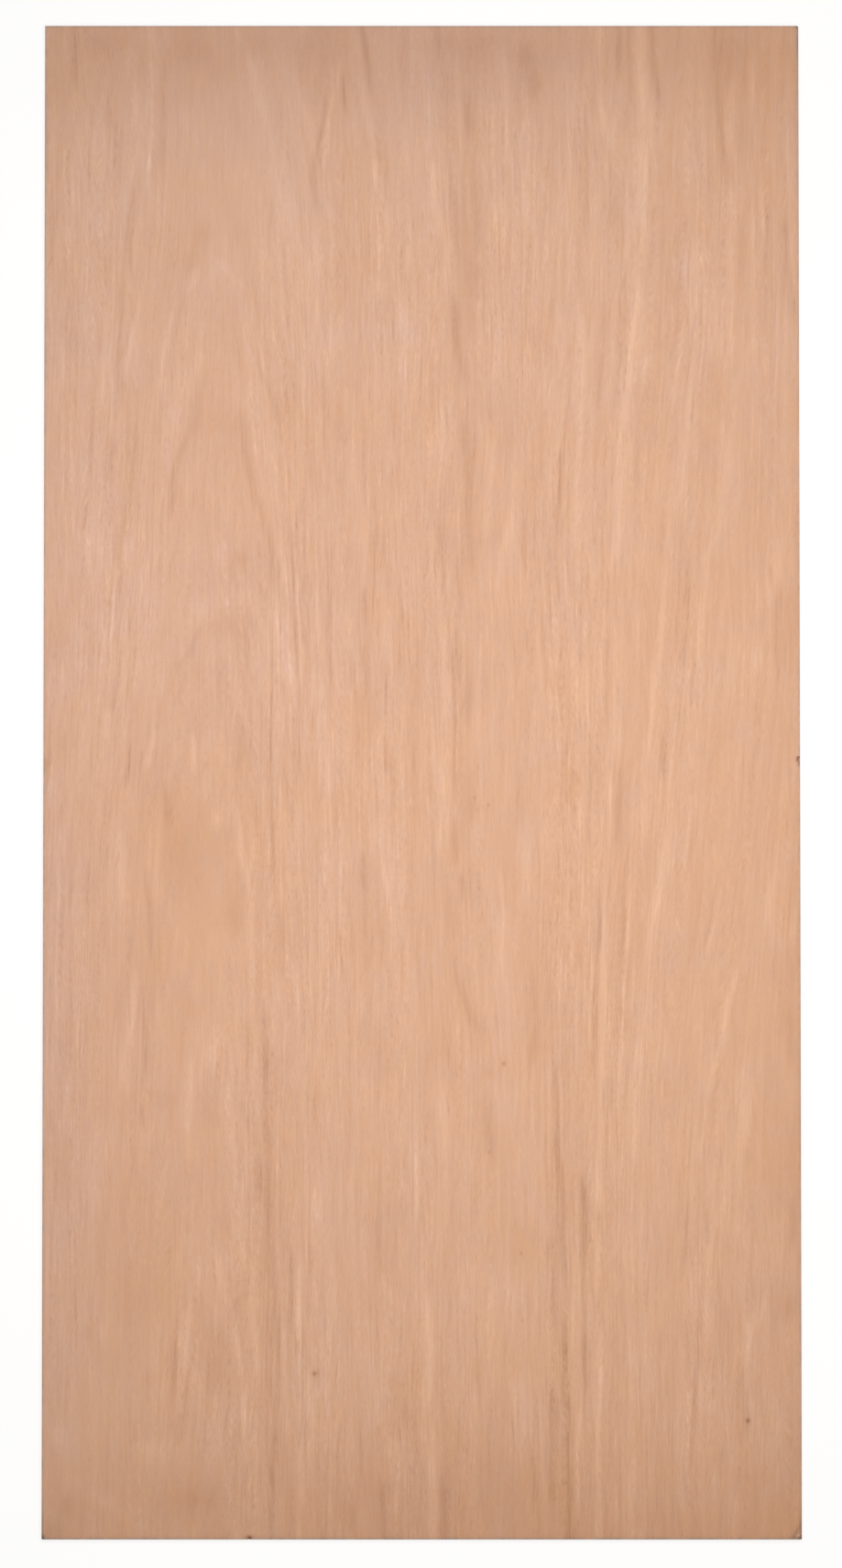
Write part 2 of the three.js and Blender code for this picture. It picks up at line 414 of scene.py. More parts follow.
    (-4, 5.0, [(178, -310), (185, -390), (176, -460)]),
    (3, 2.0, [(175, -490), (184, -610)]),
    (-7, 3.0, [(286, -190), (283, -260), (280, -330), (280, -400), (279, -460)]),
    (5, 4.0, [(296, -180), (292, -300), (291, -380), (289, -470), (290, -540), (286, -610)]),
    (3, 3.0, [(269, -210), (274, -300), (272, -350), (274, -440)]),
    (-4, 3.0, [(333, -110), (327, -190), (324, -260), (320, -330), (321, -385)]),
    (5, 2.0, [(341, -180), (333, -240), (329, -290), (326, -380), (321, -440), (318, -490)]),
    (6, 2.0, [(304, 0), (304, -90)]),
    (-5, 6.0, [(323, 15), (321, -50), (315, -105)]),
    (4, 5.0, [(396, -75), (391, -140), (383, -180), (374, -220), (364, -285)]),
    (4, 3.0, [(439, -35), (432, -80), (425, -120), (414, -180)]),
    (-3, 3.0, [(446, -60), (436, -115), (424, -165)]),
    (-3, 2.0, [(468, -200), (456, -265)]),
    (3, 2.0, [(479, -185), (464, -255), (451, -310)]),
    (4, 4.0, [(568, -155), (560, -210), (554, -240)]),
    (5, 4.0, [(513, -290), (496, -348), (488, -380), (482, -430), (471, -470), (464, -510)]),
    (4, 4.0, [(349, -430), (345, -500), (342, -610)]),
    (3, 2.0, [(386, -370), (380, -430), (373, -480)]),
    (4, 6.0, [(529, -495), (520, -550), (510, -620)]),
    (5, 3.0, [(457, -530), (450, -610)]),
    (-4, 4.0, [(102, -505), (106, -560), (113, -615)]),
    (3, 3.0, [(34, -505), (35, -610)]),
    (-6, 4.0, [(215, -460), (219, -540), (219, -600)]),
    (4, 2.0, [(225, -480), (227, -610)]),
    (4, 3.0, [(256, -20), (257, -230)]),
    (-2, 2.0, [(270, 80), (269, -160)]),
    # lower right: the dark seams and the light streaks between them
    (-7, 5.0, [(218, -590), (223, -660), (226, -700), (224, -750), (228, -800)]),
    (-3, 3.0, [(214, -710), (213, -780), (212, -870)]),
    (-10, 5.0, [(258, -645), (262, -700), (260, -745), (258, -775)]),
    (-4, 3.0, [(259, -780), (261, -870)]),
    (6, 4.0, [(284, -610), (281, -690)]),
    (4, 4.0, [(284, -720), (284, -830)]),
    (4, 4.0, [(251, -735), (249, -800), (246, -860), (243, -910)]),
    (-10, 4.0, [(229, -860), (229, -950), (231, -1020)]),
    (-8, 3.0, [(261, -880), (263, -980)]),
    (-5, 4.0, [(211, -980), (211, -1050), (210, -1100), (212, -1160)]),
    (-7, 4.0, [(231, -1030), (234, -1100), (238, -1160), (240, -1220)]),
    (6, 4.0, [(251, -1010), (251, -1090), (249, -1180)]),
    (6, 4.0, [(285, -890), (286, -980), (284, -1070)]),
    (5, 4.0, [(282, -1075), (283, -1215)]),
    (4, 6.0, [(9, -815), (10, -900), (12, -1010)]),
    (4, 3.0, [(-7, -590), (-6, -700)]),
    (5, 6.0, [(14, -1040), (17, -1130), (19, -1215)]),
    (-6, 6.0, [(37, -1120), (38, -1215)]),
    (-3, 6.0, [(65, -1150), (67, -1210)]),
    (3, 4.0, [(334, -880), (335, -1010)]),
    (3, 5.0, [(335, -1030), (335, -1205)]),
    (-4, 3.0, [(426, -700), (424, -740), (419, -795)]),
    (4, 3.0, [(466, -730), (463, -800), (457, -890)]),
    (-4, 3.0, [(446, -860), (441, -950), (440, -1000), (438, -1060)]),
    (3, 4.0, [(549, -830), (538, -870), (528, -900), (521, -930)]),
    (-4, 5.0, [(596, -680), (594, -750)]),
    (-3, 6.0, [(596, -370), (594, -450)]),
    (5, 5.0, [(502, -1150), (503, -1205)]),
    (-4, 3.0, [(177, -1080), (182, -1160)]),
    (-2, 3.0, [(204, -740), (219, -925)]),
]

# Broader, softer streaks, in the same form. These set the slow light and dark of the
# figure, quarter by quarter.
BROAD_GRADE = 0.015
BROAD = [
    # high on the left
    (-2.0, 12, [(-585, 1150), (-583, 1060), (-592, 1000), (-600, 930), (-602, 860)]),
    (-2.0, 9, [(-588, 840), (-580, 790), (-582, 720)]),
    (1.5, 8, [(-470, 1120), (-470, 1040), (-478, 960), (-486, 860), (-488, 780)]),
    (-2.0, 9, [(-160, 930), (-140, 880), (-125, 820), (-120, 760)]),
    (1.5, 8, [(-92, 1090), (-80, 1030), (-75, 960), (-65, 900)]),
    (-2.5, 9, [(-128, 1140), (-124, 1060)]),
    (-1.5, 7, [(-414, 1150), (-416, 1000)]),
    (-2.0, 8, [(-352, 900), (-362, 865), (-376, 830)]),
    (2.0, 10, [(-180, 800), (-172, 740), (-180, 680), (-185, 640)]),
    (-1.5, 14, [(-118, 820), (-112, 700), (-98, 600), (-92, 540)]),
    (2.5, 8, [(-35, 760), (-28, 700), (-25, 650)]),
    (1.5, 8, [(-85, 650), (-80, 560)]),
    (-2.5, 8, [(-50, 600), (-40, 545)]),
    (3.0, 11, [(-366, 676), (-388, 640), (-402, 600), (-415, 560), (-424, 520)]),
    (3.0, 9, [(-272, 650), (-266, 600), (-252, 540), (-243, 480), (-238, 430)]),
    (2.0, 9, [(-222, 690), (-216, 610)]),
    (1.5, 8, [(-522, 640), (-518, 500)]),
    (-2.0, 10, [(-596, 620), (-594, 500)]),
    (-2.5, 10, [(-556, 340), (-552, 260)]),
    (2.0, 9, [(-440, 340), (-440, 240)]),
    (2.5, 12, [(-242, 280), (-230, 230), (-212, 180), (-200, 120), (-190, 60)]),
    (3.0, 11, [(-170, 170), (-160, 110), (-152, 50), (-150, -20)]),
    (-3.0, 11, [(-76, 400), (-84, 340), (-88, 270), (-90, 200), (-84, 120), (-80, 60)]),
    (-2.0, 9, [(-98, 150), (-100, 20)]),
    (-1.5, 12, [(-292, 100), (-288, 0)]),
    # high on the right
    (-3.0, 17, [(74, 1190), (74, 1060), (78, 940), (80, 860), (74, 780), (66, 700)]),
    (1.5, 14, [(12, 1040), (22, 960), (28, 880), (32, 800)]),
    (2.0, 10, [(165, 1070), (168, 980), (165, 900), (172, 830)]),
    (2.5, 11, [(236, 1150), (238, 1060)]),
    (-2.0, 9, [(268, 1040), (258, 960)]),
    (2.0, 12, [(358, 1210), (362, 1060), (363, 960), (358, 880)]),
    (-2.0, 9, [(388, 1000), (388, 900), (388, 780), (380, 700)]),
    (3.0, 14, [(442, 1090), (438, 1020), (432, 960)]),
    (2.0, 8, [(450, 1200), (450, 1090)]),
    (-2.0, 8, [(480, 1200), (484, 1090), (486, 1010)]),
    (3.0, 9, [(448, 860), (446, 790), (440, 720)]),
    (2.5, 8, [(440, 720), (434, 640), (428, 560), (418, 480), (405, 420)]),
    (-3.0, 9, [(474, 680), (470, 590)]),
    (-2.0, 10, [(600, 700), (598, 560)]),
    (2.0, 12, [(110, 780), (118, 700), (110, 620)]),
    (1.5, 9, [(165, 700), (166, 600)]),
    (-2.5, 9, [(190, 600), (188, 530), (182, 460)]),
    (-2.0, 9, [(296, 760), (290, 680), (286, 600), (292, 520)]),
    (-2.5, 11, [(366, 640), (358, 560), (352, 490)]),
    (-2.5, 10, [(436, 400), (430, 330), (424, 260), (416, 190)]),
    (-3.0, 14, [(592, 310), (585, 240), (580, 170)]),
    (2.0, 12, [(584, 400), (572, 330), (562, 290)]),
    (1.5, 10, [(262, 260), (266, 180), (270, 80)]),
    (2.5, 14, [(130, 390), (126, 320), (134, 250)]),
    (-2.5, 9, [(164, 270), (168, 190)]),
    (-2.0, 8, [(224, 470), (222, 350)]),
    (-3.0, 12, [(36, 480), (34, 410), (44, 340)]),
    (2.5, 13, [(44, 620), (32, 570), (18, 510)]),
    (-2.0, 10, [(72, 210), (72, 90)]),
    # low on the left
    (2.5, 12, [(-492, -90), (-486, -150), (-478, -230)]),
    (-2.5, 11, [(-408, 0), (-404, -70), (-396, -130)]),
    (2.0, 10, [(-400, -200), (-396, -260), (-398, -320)]),
    (-2.5, 11, [(-308, -150), (-300, -250)]),
    (-2.5, 8, [(-228, -230), (-226, -330)]),
    (2.5, 11, [(-205, -30), (-204, -130)]),
    (2.0, 14, [(-158, -60), (-150, -150), (-152, -240), (-145, -330), (-140, -380)]),
    (2.0, 8, [(-205, -300), (-202, -400), (-206, -500)]),
    (-3.5, 16, [(-92, -130), (-84, -200), (-82, -300)]),
    (3.0, 16, [(-66, -70), (-54, -130), (-40, -190)]),
    (3.0, 14, [(-30, -290), (-18, -360), (-6, -430)]),
    (-3.5, 13, [(-82, -390), (-66, -440), (-52, -490)]),
    (-3.0, 15, [(-72, -650), (-60, -730), (-50, -800)]),
    (2.5, 15, [(-24, -560), (-20, -680)]),
    (2.0, 12, [(0, -830), (4, -920)]),
    (-3.5, 11, [(-40, -950), (-32, -1040)]),
    (-3.0, 13, [(-80, -1040), (-76, -1110), (-70, -1200)]),
    (2.0, 10, [(-172, -640), (-166, -700), (-160, -760)]),
    (2.5, 13, [(-186, -960), (-192, -1040)]),
    (1.5, 10, [(-148, -450), (-146, -580)]),
    (-2.5, 14, [(-262, -540), (-258, -640), (-252, -720), (-244, -800)]),
    (2.5, 16, [(-350, -390), (-338, -440)]),
    (2.0, 9, [(-362, -440), (-372, -500), (-380, -570)]),
    (-2.5, 10, [(-334, -590), (-322, -660)]),
    (1.5, 12, [(-466, -320), (-474, -420), (-484, -500)]),
    (-1.5, 8, [(-440, -250), (-444, -350), (-448, -450)]),
    (-2.5, 14, [(-580, -380), (-572, -430), (-572, -480)]),
    (2.5, 20, [(-496, -560), (-502, -620), (-506, -680)]),
    (-2.5, 14, [(-578, -580), (-582, -680)]),
    (-2.0, 22, [(-462, -780), (-456, -870)]),
    (2.5, 9, [(-432, -850), (-428, -950)]),
    (-2.0, 12, [(-334, -870), (-326, -970)]),
    (2.0, 10, [(-286, -990), (-282, -1100), (-284, -1200)]),
    # low on the right
    (-3.0, 14, [(64, 20), (70, -50), (60, -110)]),
    (2.5, 12, [(88, -80), (100, -130), (118, -180), (126, -240)]),
    (3.0, 17, [(126, -220), (124, -300), (130, -380), (134, -440)]),
    (-2.5, 9, [(44, -170), (46, -260)]),
    (-2.5, 13, [(52, -290), (68, -350), (86, -410)]),
    (1.5, 10, [(172, -75), (170, -140), (164, -210)]),
    (-2.5, 10, [(186, -310), (184, -400), (180, -450)]),
    (1.5, 9, [(212, -60), (214, -150)]),
    (2.5, 9, [(300, -90), (296, -170)]),
    (-2.5, 11, [(318, -20), (318, -120), (316, -230), (318, -330)]),
    (-2.5, 9, [(372, -90), (362, -180)]),
    (1.5, 11, [(402, -60), (392, -140), (376, -220), (366, -290)]),
    (2.0, 9, [(366, -290), (358, -350), (352, -430), (345, -520), (340, -600)]),
    (1.5, 9, [(462, -20), (446, -80), (436, -140)]),
    (2.0, 12, [(580, -90), (562, -170), (548, -230)]),
    (-3.0, 15, [(594, -260), (590, -340), (588, -410)]),
    (2.0, 13, [(536, -440), (526, -510), (516, -590)]),
    (-3.0, 16, [(592, -580), (584, -640), (582, -700)]),
    (2.5, 12, [(496, -600), (494, -680), (486, -740)]),
    (-2.0, 12, [(588, -800), (586, -890)]),
    (2.5, 16, [(120, -490), (140, -560)]),
    (-2.5, 9, [(104, -520), (112, -620)]),
    (3.0, 12, [(168, -580), (178, -650), (180, -720)]),
    (2.0, 17, [(40, -500), (48, -570), (60, -640), (70, -690)]),
    (2.5, 16, [(340, -720), (342, -800)]),
    (2.0, 13, [(346, -860), (352, -930), (362, -1000)]),
    (-2.0, 14, [(396, -720), (392, -800)]),
    (2.5, 10, [(432, -780), (428, -860)]),
    (1.5, 9, [(466, -760), (460, -880)]),
    (2.5, 12, [(462, -950), (456, -1030)]),
    (-2.5, 10, [(494, -840), (490, -950)]),
    (2.0, 14, [(546, -850), (530, -900), (520, -950)]),
    (2.0, 12, [(416, -990), (414, -1080)]),
    (2.0, 16, [(552, -1000), (552, -1090)]),
    (2.0, 14, [(496, -1000), (484, -1070)]),
    (2.0, 9, [(342, -1080), (344, -1200)]),
    (3.0, 12, [(112, -800), (110, -880), (114, -960)]),
    (3.0, 11, [(150, -970), (158, -1040), (160, -1090)]),
    (-2.5, 10, [(34, -930), (40, -1010)]),
    (-2.5, 12, [(48, -1020), (60, -1080)]),
    (1.5, 14, [(572, -700), (566, -800)]),
]

# Wide soft patches: (shade, x, y, reach in x, reach in y, lean), in the same steps
PATCHES = [
    (-2.8, -60, 1250, 620, 62, 0.0),  # both ends are a little darker
    (-2.5, 0, -1245, 700, 55, 0.0),
    (-3.2, 0, 1160, 700, 60, 0.0),
    (-1.0, 400, 1185, 220, 26, 0.0),
    (-2.3, 0, -1155, 700, 62, 0.0),
    (-1.5, 40, -1150, 160, 70, 0.0),
    (-1.6, 410, -1205, 170, 20, 0.0),
    (1.4, -20, 880, 700, 120, 0.0),
    (-1.8, 610, -1200, 90, 130, 0.0),
    (-2.0, -560, 1150, 80, 60, 0.0),
    (-1.6, 560, 1130, 90, 70, 0.0),
    (-1.8, 110, -1130, 90, 60, 0.0),
    (1.4, 250, 700, 500, 60, 0.0),
    (-1.2, -520, -820, 90, 220, 0.0),
    (1.6, -400, 300, 70, 110, 0.0),
    (1.4, -100, -915, 80, 130, 0.0),
    (-1.4, 510, 915, 90, 100, 0.0),
    (-0.9, 100, 300, 80, 230, 0.0),
    (-1.0, 580, -100, 70, 240, 0.0),
    (-1.0, -290, -100, 80, 90, 0.0),
    (-1.0, -560, -1180, 80, 60, 0.0),
    (-0.8, 570, -1180, 80, 60, 0.0),
    (-2.0, -405, -200, 85, 190, 0.0),
    (-1.0, 60, -220, 80, 170, 0.0),
    (1.0, 330, -900, 250, 160, 0.0),
    # near the top, left to right
    (-3.5, -515, 1190, 24, 14, 0.0),
    (-3.5, -368, 1182, 26, 20, 0.0),
    (-2.5, -330, 1150, 26, 22, 0.0),
    (-3.0, -268, 1190, 18, 16, 0.0),
    (-1.5, -160, 1185, 30, 18, 0.0),
    (-5.0, 165, 1172, 8, 16, 0.0),
    (-4.5, 183, 1122, 7, 15, 0.0),
    (-3.0, 40, 1195, 22, 14, 0.0),
    (-2.0, 110, 1195, 24, 14, 0.0),
    # the first arch
    (-2.5, -358, 880, 14, 14, 0.0),
    (-2.5, -372, 835, 8, 14, 0.0),
    (-2.0, -290, 880, 8, 12, 0.0),
    (4.5, -367, 810, 6, 11, 0.3),
    (4.0, -322, 828, 9, 8, 0.0),
    (3.0, -168, 845, 10, 24, 0.0),
    (3.0, -80, 790, 12, 20, 0.0),
    (2.0, -392, 660, 8, 16, 0.0),
    (2.0, -355, 982, 5, 10, 0.0),
    (2.0, -303, 978, 9, 8, 0.0),
    # the second
    (-2.0, -325, 575, 24, 14, 0.0),
    (2.0, -395, 580, 10, 24, 0.0),
    (2.0, -410, 515, 7, 14, 0.0),
    (2.0, -280, 610, 8, 14, 0.0),
    # the third
    (-3.0, -310, 244, 34, 13, 0.0),
    (-2.0, -372, 180, 20, 12, 0.0),
    (-3.5, -308, 342, 6, 12, 0.0),
    (-4.0, -286, 356, 6, 9, 0.0),
    (2.5, -355, 272, 12, 12, 0.0),
    (2.0, -310, 290, 20, 12, 0.0),
    (-2.5, -290, 52, 12, 28, 0.0),
    (2.5, -524, 368, 9, 24, 0.0),
    (1.5, -228, 230, 14, 110, 0.0),
    # the plain ground below it, and the fourth arch
    (-1.8, -375, -110, 34, 60, 0.0),
    (5.0, -330, -66, 8, 11, 0.0),
    (2.5, -352, -20, 12, 18, 0.0),
    (-3.0, -303, -222, 10, 20, 0.0),
    (-3.5, -372, -372, 6, 14, 0.0),
    (5.0, -340, -446, 9, 12, 0.0),
    (2.5, -330, -415, 8, 14, 0.0),
    (-2.5, -340, -545, 9, 26, 0.0),
    (-3.0, -415, -515, 18, 9, 0.0),
    (-3.0, -318, -712, 8, 24, 0.0),
    (2.0, -427, -920, 6, 28, 0.0),
    (-3.0, -330, -945, 10, 30, 0.0),
    (-4.0, -537, -890, 6, 8, 0.0),
    (3.0, -515, -890, 6, 12, 0.0),
    (2.5, -430, -1072, 28, 10, 0.0),
    (2.0, -580, -1058, 16, 14, 0.0),
    (1.5, -500, -1165, 12, 34, -1.5),
    (-3.5, -570, -1166, 7, 11, 0.0),
    (-2.5, -370, -1160, 30, 16, 0.0),
    (-1.5, -580, -1170, 24, 34, 0.0),
    # the middle and the right
    (-3.5, 82, -45, 6, 12, 0.0),
    (2.0, 38, 575, 12, 30, 0.5),
    (-3.0, 35, 392, 8, 14, 0.0),
    (-1.7, 74, 800, 18, 170, 0.0),
    (-1.4, 78, 480, 14, 80, 0.0),
    (-3.5, 106, -472, 9, 4, 0.0),
    (-2.0, 92, -940, 10, 25, 0.0),
    (-2.0, 322, -900, 8, 40, 0.0),
    (-3.5, 332, -395, 4, 8, 0.0),
    (-3.5, 470, -375, 4, 11, 0.0),
    (3.0, 352, -380, 5, 18, 0.0),
    (3.5, 290, -470, 4, 8, 0.0),
    (2.0, 545, 190, 16, 20, 0.0),
    (2.0, 420, 830, 8, 24, 0.0),
    (2.0, 325, 830, 14, 30, 0.0),
    (-4.0, 590, -850, 9, 13, 0.0),
    (-1.2, 590, -620, 18, 260, 0.0),
    (-1.1, 240, -1050, 26, 150, 0.0),
    (-1.0, 250, -700, 28, 90, 0.0),
    (-0.9, -250, -850, 22, 300, 0.0),
    (0.8, -100, -480, 80, 200, 0.0),
    (0.7, 150, 100, 50, 200, 0.0),
    (-0.7, 130, -150, 60, 150, 0.0),
    (0.8, -520, 300, 60, 260, 0.0),
    (-0.6, -500, -350, 60, 220, 0.0),
    (0.7, 420, -700, 70, 200, 0.0),
    # spots between the broad streaks
    (2.5, -525, 895, 12, 25, 0.0),
    (1.5, -372, 1050, 28, 32, 0.0),
    (1.5, -235, 960, 26, 90, 0.0),
    (1.5, -215, 880, 14, 50, 0.0),
    (1.5, -172, 870, 12, 60, 0.0),
    (1.5, -552, 400, 14, 30, 0.0),
    (-2.0, -466, 435, 9, 24, 0.0),
    (-3.0, -588, 225, 12, 30, 0.0),
    (2.0, -445, 180, 22, 22, 0.0),
    (2.0, -562, 175, 12, 24, 0.0),
    (-2.5, -585, 60, 20, 30, 0.0),
    (2.0, -22, 330, 12, 25, 0.0),
    (1.5, -60, 230, 10, 25, 0.0),
    (-2.0, -10, 150, 9, 30, 0.0),
    (-2.5, 182, 1160, 20, 30, 0.0),
    (-2.5, 517, 1045, 10, 24, 0.0),
    (-2.0, 462, 545, 10, 30, 0.0),
    (1.5, 545, 590, 14, 35, 0.0),
    (-2.0, 138, 560, 10, 28, 0.0),
    (-2.0, 188, 735, 12, 34, 0.0),
    (-2.0, 392, 675, 12, 24, 0.0),
    (2.0, 500, 160, 55, 45, 0.0),
    (-2.0, 170, 100, 9, 24, 0.0),
    (-2.5, -604, -165, 9, 40, 0.0),
    (-2.0, -518, -245, 9, 22, 0.0),
    (1.5, -335, -265, 16, 22, 0.0),
    (2.0, -38, -1090, 14, 26, 0.0),
    (2.5, -158, -930, 14, 34, 0.0),
    (-2.5, -122, -1180, 10, 22, 0.0),
    (-2.5, -490, -355, 9, 24, 0.0),
    (2.0, -442, -575, 9, 24, 0.0),
    (2.0, -340, -790, 34, 34, 0.0),
    (1.5, -460, -1000, 34, 28, 0.0),
    (2.0, -425, -1088, 30, 14, 0.0),
    (1.5, -582, -1058, 14, 16, 0.0),
    (1.5, -505, -1160, 16, 30, -1.5),
    (-1.5, -345, -1150, 34, 26, 0.0),
    (1.5, -340, -1040, 24, 36, 0.0),
    (-3.0, 236, 0, 12, 24, 0.0),
    (2.0, 350, -60, 10, 26, 0.0),
    (2.0, 572, -255, 14, 26, 0.0),
    (-2.0, 14, -430, 14, 40, 0.0),
    (-3.0, 164, -745, 12, 26, 0.0),
    (-1.5, 392, -975, 10, 34, 0.0),
    (2.5, 142, -835, 10, 30, 0.0),
    (-2.0, 134, -1000, 9, 26, 0.0),
    (1.5, 78, -1010, 12, 40, 0.0),
    (-2.0, 376, -1130, 16, 50, 0.0),
]

# Where the figure is livelier or plainer: (change, x, y, reach in x, reach in y)
LIVELY = [
    (0.35, 230, 150, 45, 520),
    (0.35, 250, -800, 45, 380),
    (0.30, -235, -100, 50, 400),
    (0.45, -250, -1000, 45, 240),
    (0.45, -220, 320, 24, 80),
    (0.40, 320, -340, 40, 100),
    (0.20, -500, 500, 60, 300),
    (-0.50, -345, 990, 70, 120),
    (-0.30, -365, 260, 42, 260),
    (-0.45, -370, -200, 55, 130),
    (-0.35, -375, -700, 50, 120),
    (-0.40, -490, -950, 60, 220),
    (-0.30, -350, -1120, 50, 80),
    (-0.20, -190, 1000, 80, 80),
    (-0.40, -40, 1060, 30, 70),
    (-0.25, 540, 1080, 60, 150),
    (-0.20, 540, 250, 50, 420),
    (-0.25, 390, -900, 40, 250),
    (-0.15, 140, -500, 50, 200),
    (-0.20, -290, 680, 50, 240),
    (-0.30, -180, 930, 45, 100),
    (0.25, -60, 620, 50, 300),
    (-0.20, 200, 170, 70, 150),
    (0.25, -430, -100, 40, 100),
    (0.30, -180, -100, 40, 100),
    (0.45, -560, -400, 45, 180),
    (0.30, -430, -720, 50, 120),
    (0.40, -300, -880, 50, 170),
    (0.35, 20, -1130, 180, 90),
    (0.40, 470, -1080, 100, 140),
    (0.24, 20, 330, 110, 220),
    (0.25, 260, 480, 60, 90),
    (0.28, -180, -500, 50, 90),
    (0.25, -60, -1120, 60, 80),
    (-0.15, -400, 820, 180, 140),
    (-0.12, 500, -400, 90, 300),
    (-0.12, 570, 500, 60, 300),
    (0.30, 40, 1120, 60, 60),
    (-0.20, 560, -510, 50, 110),
]
# The same for the middling and wide grain alone
CALM = [
    (-0.45, -345, 990, 70, 120),
    (-0.30, -365, 260, 45, 200),
    (-0.45, -360, -180, 60, 140),
    (-0.40, -330, -620, 60, 170),
    (-0.40, -300, -950, 60, 220),
    (-0.25, -480, -950, 60, 200),
    (-0.15, -520, 250, 50, 350),
    (0.25, 60, -250, 40, 120),
    (0.25, 60, -700, 40, 100),
    (0.20, 50, 1120, 50, 60),
    (0.25, 560, 1120, 60, 60),
    (0.20, 440, 710, 40, 100),
]
# Where the wood is a little more orange, or pinker below 0: (amount, x, y, reaches)
HUES = [
    (-0.022, 10, 1165, 190, 80),
    (-0.026, -600, -400, 45, 450),
    (-0.006, 50, -260, 120, 120),
    (-0.006, 30, 240, 150, 180),
    (0.010, 510, 1030, 100, 150),
    (0.010, -300, 510, 130, 90),
    (0.007, -200, 508, 120, 100),
    (0.008, -400, 915, 90, 100),
    (0.005, -50, 915, 160, 90),
    (-0.005, 0, 1165, 120, 60),
    (0.008, 180, -940, 150, 100),
    (-0.020, -300, 310, 110, 110),
    (0.012, -410, -900, 90, 260),
    (0.008, -400, -200, 80, 160),
    (-0.012, 560, -920, 70, 130),
]

# Pin knots: (x, y, radius, darkness)
KNOTS = [
    (524, -1030, 3.6, 0.42),
    (-172, -955, 3.4, 0.40),
    (132, -458, 3.0, 0.26),
    (108, -42, 2.2, 0.18),
    (85, -30, 2.2, 0.15),
    (160, -762, 2.4, 0.16),
    (162, -870, 2.2, 0.14),
    (108, -600, 2.0, 0.14),
]

# Marks of wear and dirt at the corners, the chips and the edges: (x, y, reach in x,
# reach in y, turn in degrees, what it does to red, green and blue)
MARKS = [
    # high on the right: a rubbed edge and a dark corner
    (609, 1198, 2, 30, 0, (0.66, 0.72, 0.78)),
    (608, 1218, 2.6, 2.2, 0, (0.58, 0.62, 0.66)),
    # low on the left: a knocked corner with a soft smudge round it
    (-608, -1216, 3, 4, 0, (0.50, 0.54, 0.58)),
    (-609, -1198, 2, 20, 0, (0.76, 0.80, 0.85)),
    (-592, -1206, 14, 11, 0, (0.92, 0.91, 0.90)),
    # low on the right: the crushed corner, dirty along the crease that cuts it off
    (608, -1200, 1.8, 13, 0, (0.66, 0.70, 0.72)),
    (600.5, -1208.5, 10, 2.4, 62, (0.74, 0.77, 0.76)),
    (597, -1217, 8, 2.2, 0, (0.80, 0.82, 0.82)),
    (605.5, -1213.5, 1.5, 1.8, 0, (1.25, 1.40, 1.50)),
    # the chip in the right-hand edge: dark along its rim, with pale torn wood inside
    (607, 35.3, 2.4, 1.7, 0, (0.60, 0.55, 0.54)),
    (604.6, 30.6, 1.8, 3.0, 0, (0.66, 0.57, 0.52)),
    (607.8, 24, 1.6, 2.8, 0, (0.60, 0.58, 0.58)),
    (608.8, 29.5, 1.4, 2.6, 0, (1.15, 1.25, 1.45)),
    # the chip in the lower end
    (-277, -1216.8, 6.2, 3.2, 0, (0.63, 0.56, 0.52)),
    # a smudge half way up the left edge
    (-608, 20, 2.2, 12, 0, (0.80, 0.83, 0.74)),
    (-602, 25, 6, 7, 0, (0.93, 0.89, 0.83)),
]

GAP = 8.0  # widest cell of the face grid across the sheet, with room to spare


def streak_line(points, y):
    """x of a streak's middle at each y, and how much of it is there (0 to 1)."""
    p = np.array(sorted(points, key=lambda q: q[1]), float)
    dense = np.linspace(p[0, 1], p[-1, 1], 200)
    x = np.interp(dense, p[:, 1], p[:, 0])
    k = max(3, int(200 * 30 / max(p[-1, 1] - p[0, 1], 60)) | 1)
    pad = np.concatenate([2 * x[0] - x[k:0:-1], x, 2 * x[-1] - x[-2 : -k - 2 : -1]])
    kernel = np.hanning(k + 2)[1:-1]
    x = np.convolve(pad, kernel / kernel.sum(), "same")[k:-k]
    slope0 = (x[3] - x[0]) / (dense[3] - dense[0])
    slope1 = (x[-1] - x[-4]) / (dense[-1] - dense[-4])
    mid = np.interp(y, dense, x)
    mid = np.where(y < dense[0], x[0] + slope0 * (y - dense[0]), mid)
    mid = np.where(y > dense[-1], x[-1] + slope1 * (y - dense[-1]), mid)
    slope = np.interp(y, dense, np.gradient(x, dense))
    fade = min(45.0, 0.35 * (dense[-1] - dense[0]) + 8)
    low = dense[0] < -HL + 30
    high = dense[-1] > HL - 30
    here = np.ones_like(y)
    if not low:
        here = here * smooth(y, dense[0] - fade * 0.6, dense[0] + fade * 0.6)
    if not high:
        here = here * (1 - smooth(y, dense[-1] - fade * 0.6, dense[-1] + fade * 0.6))
    return mid, slope, here


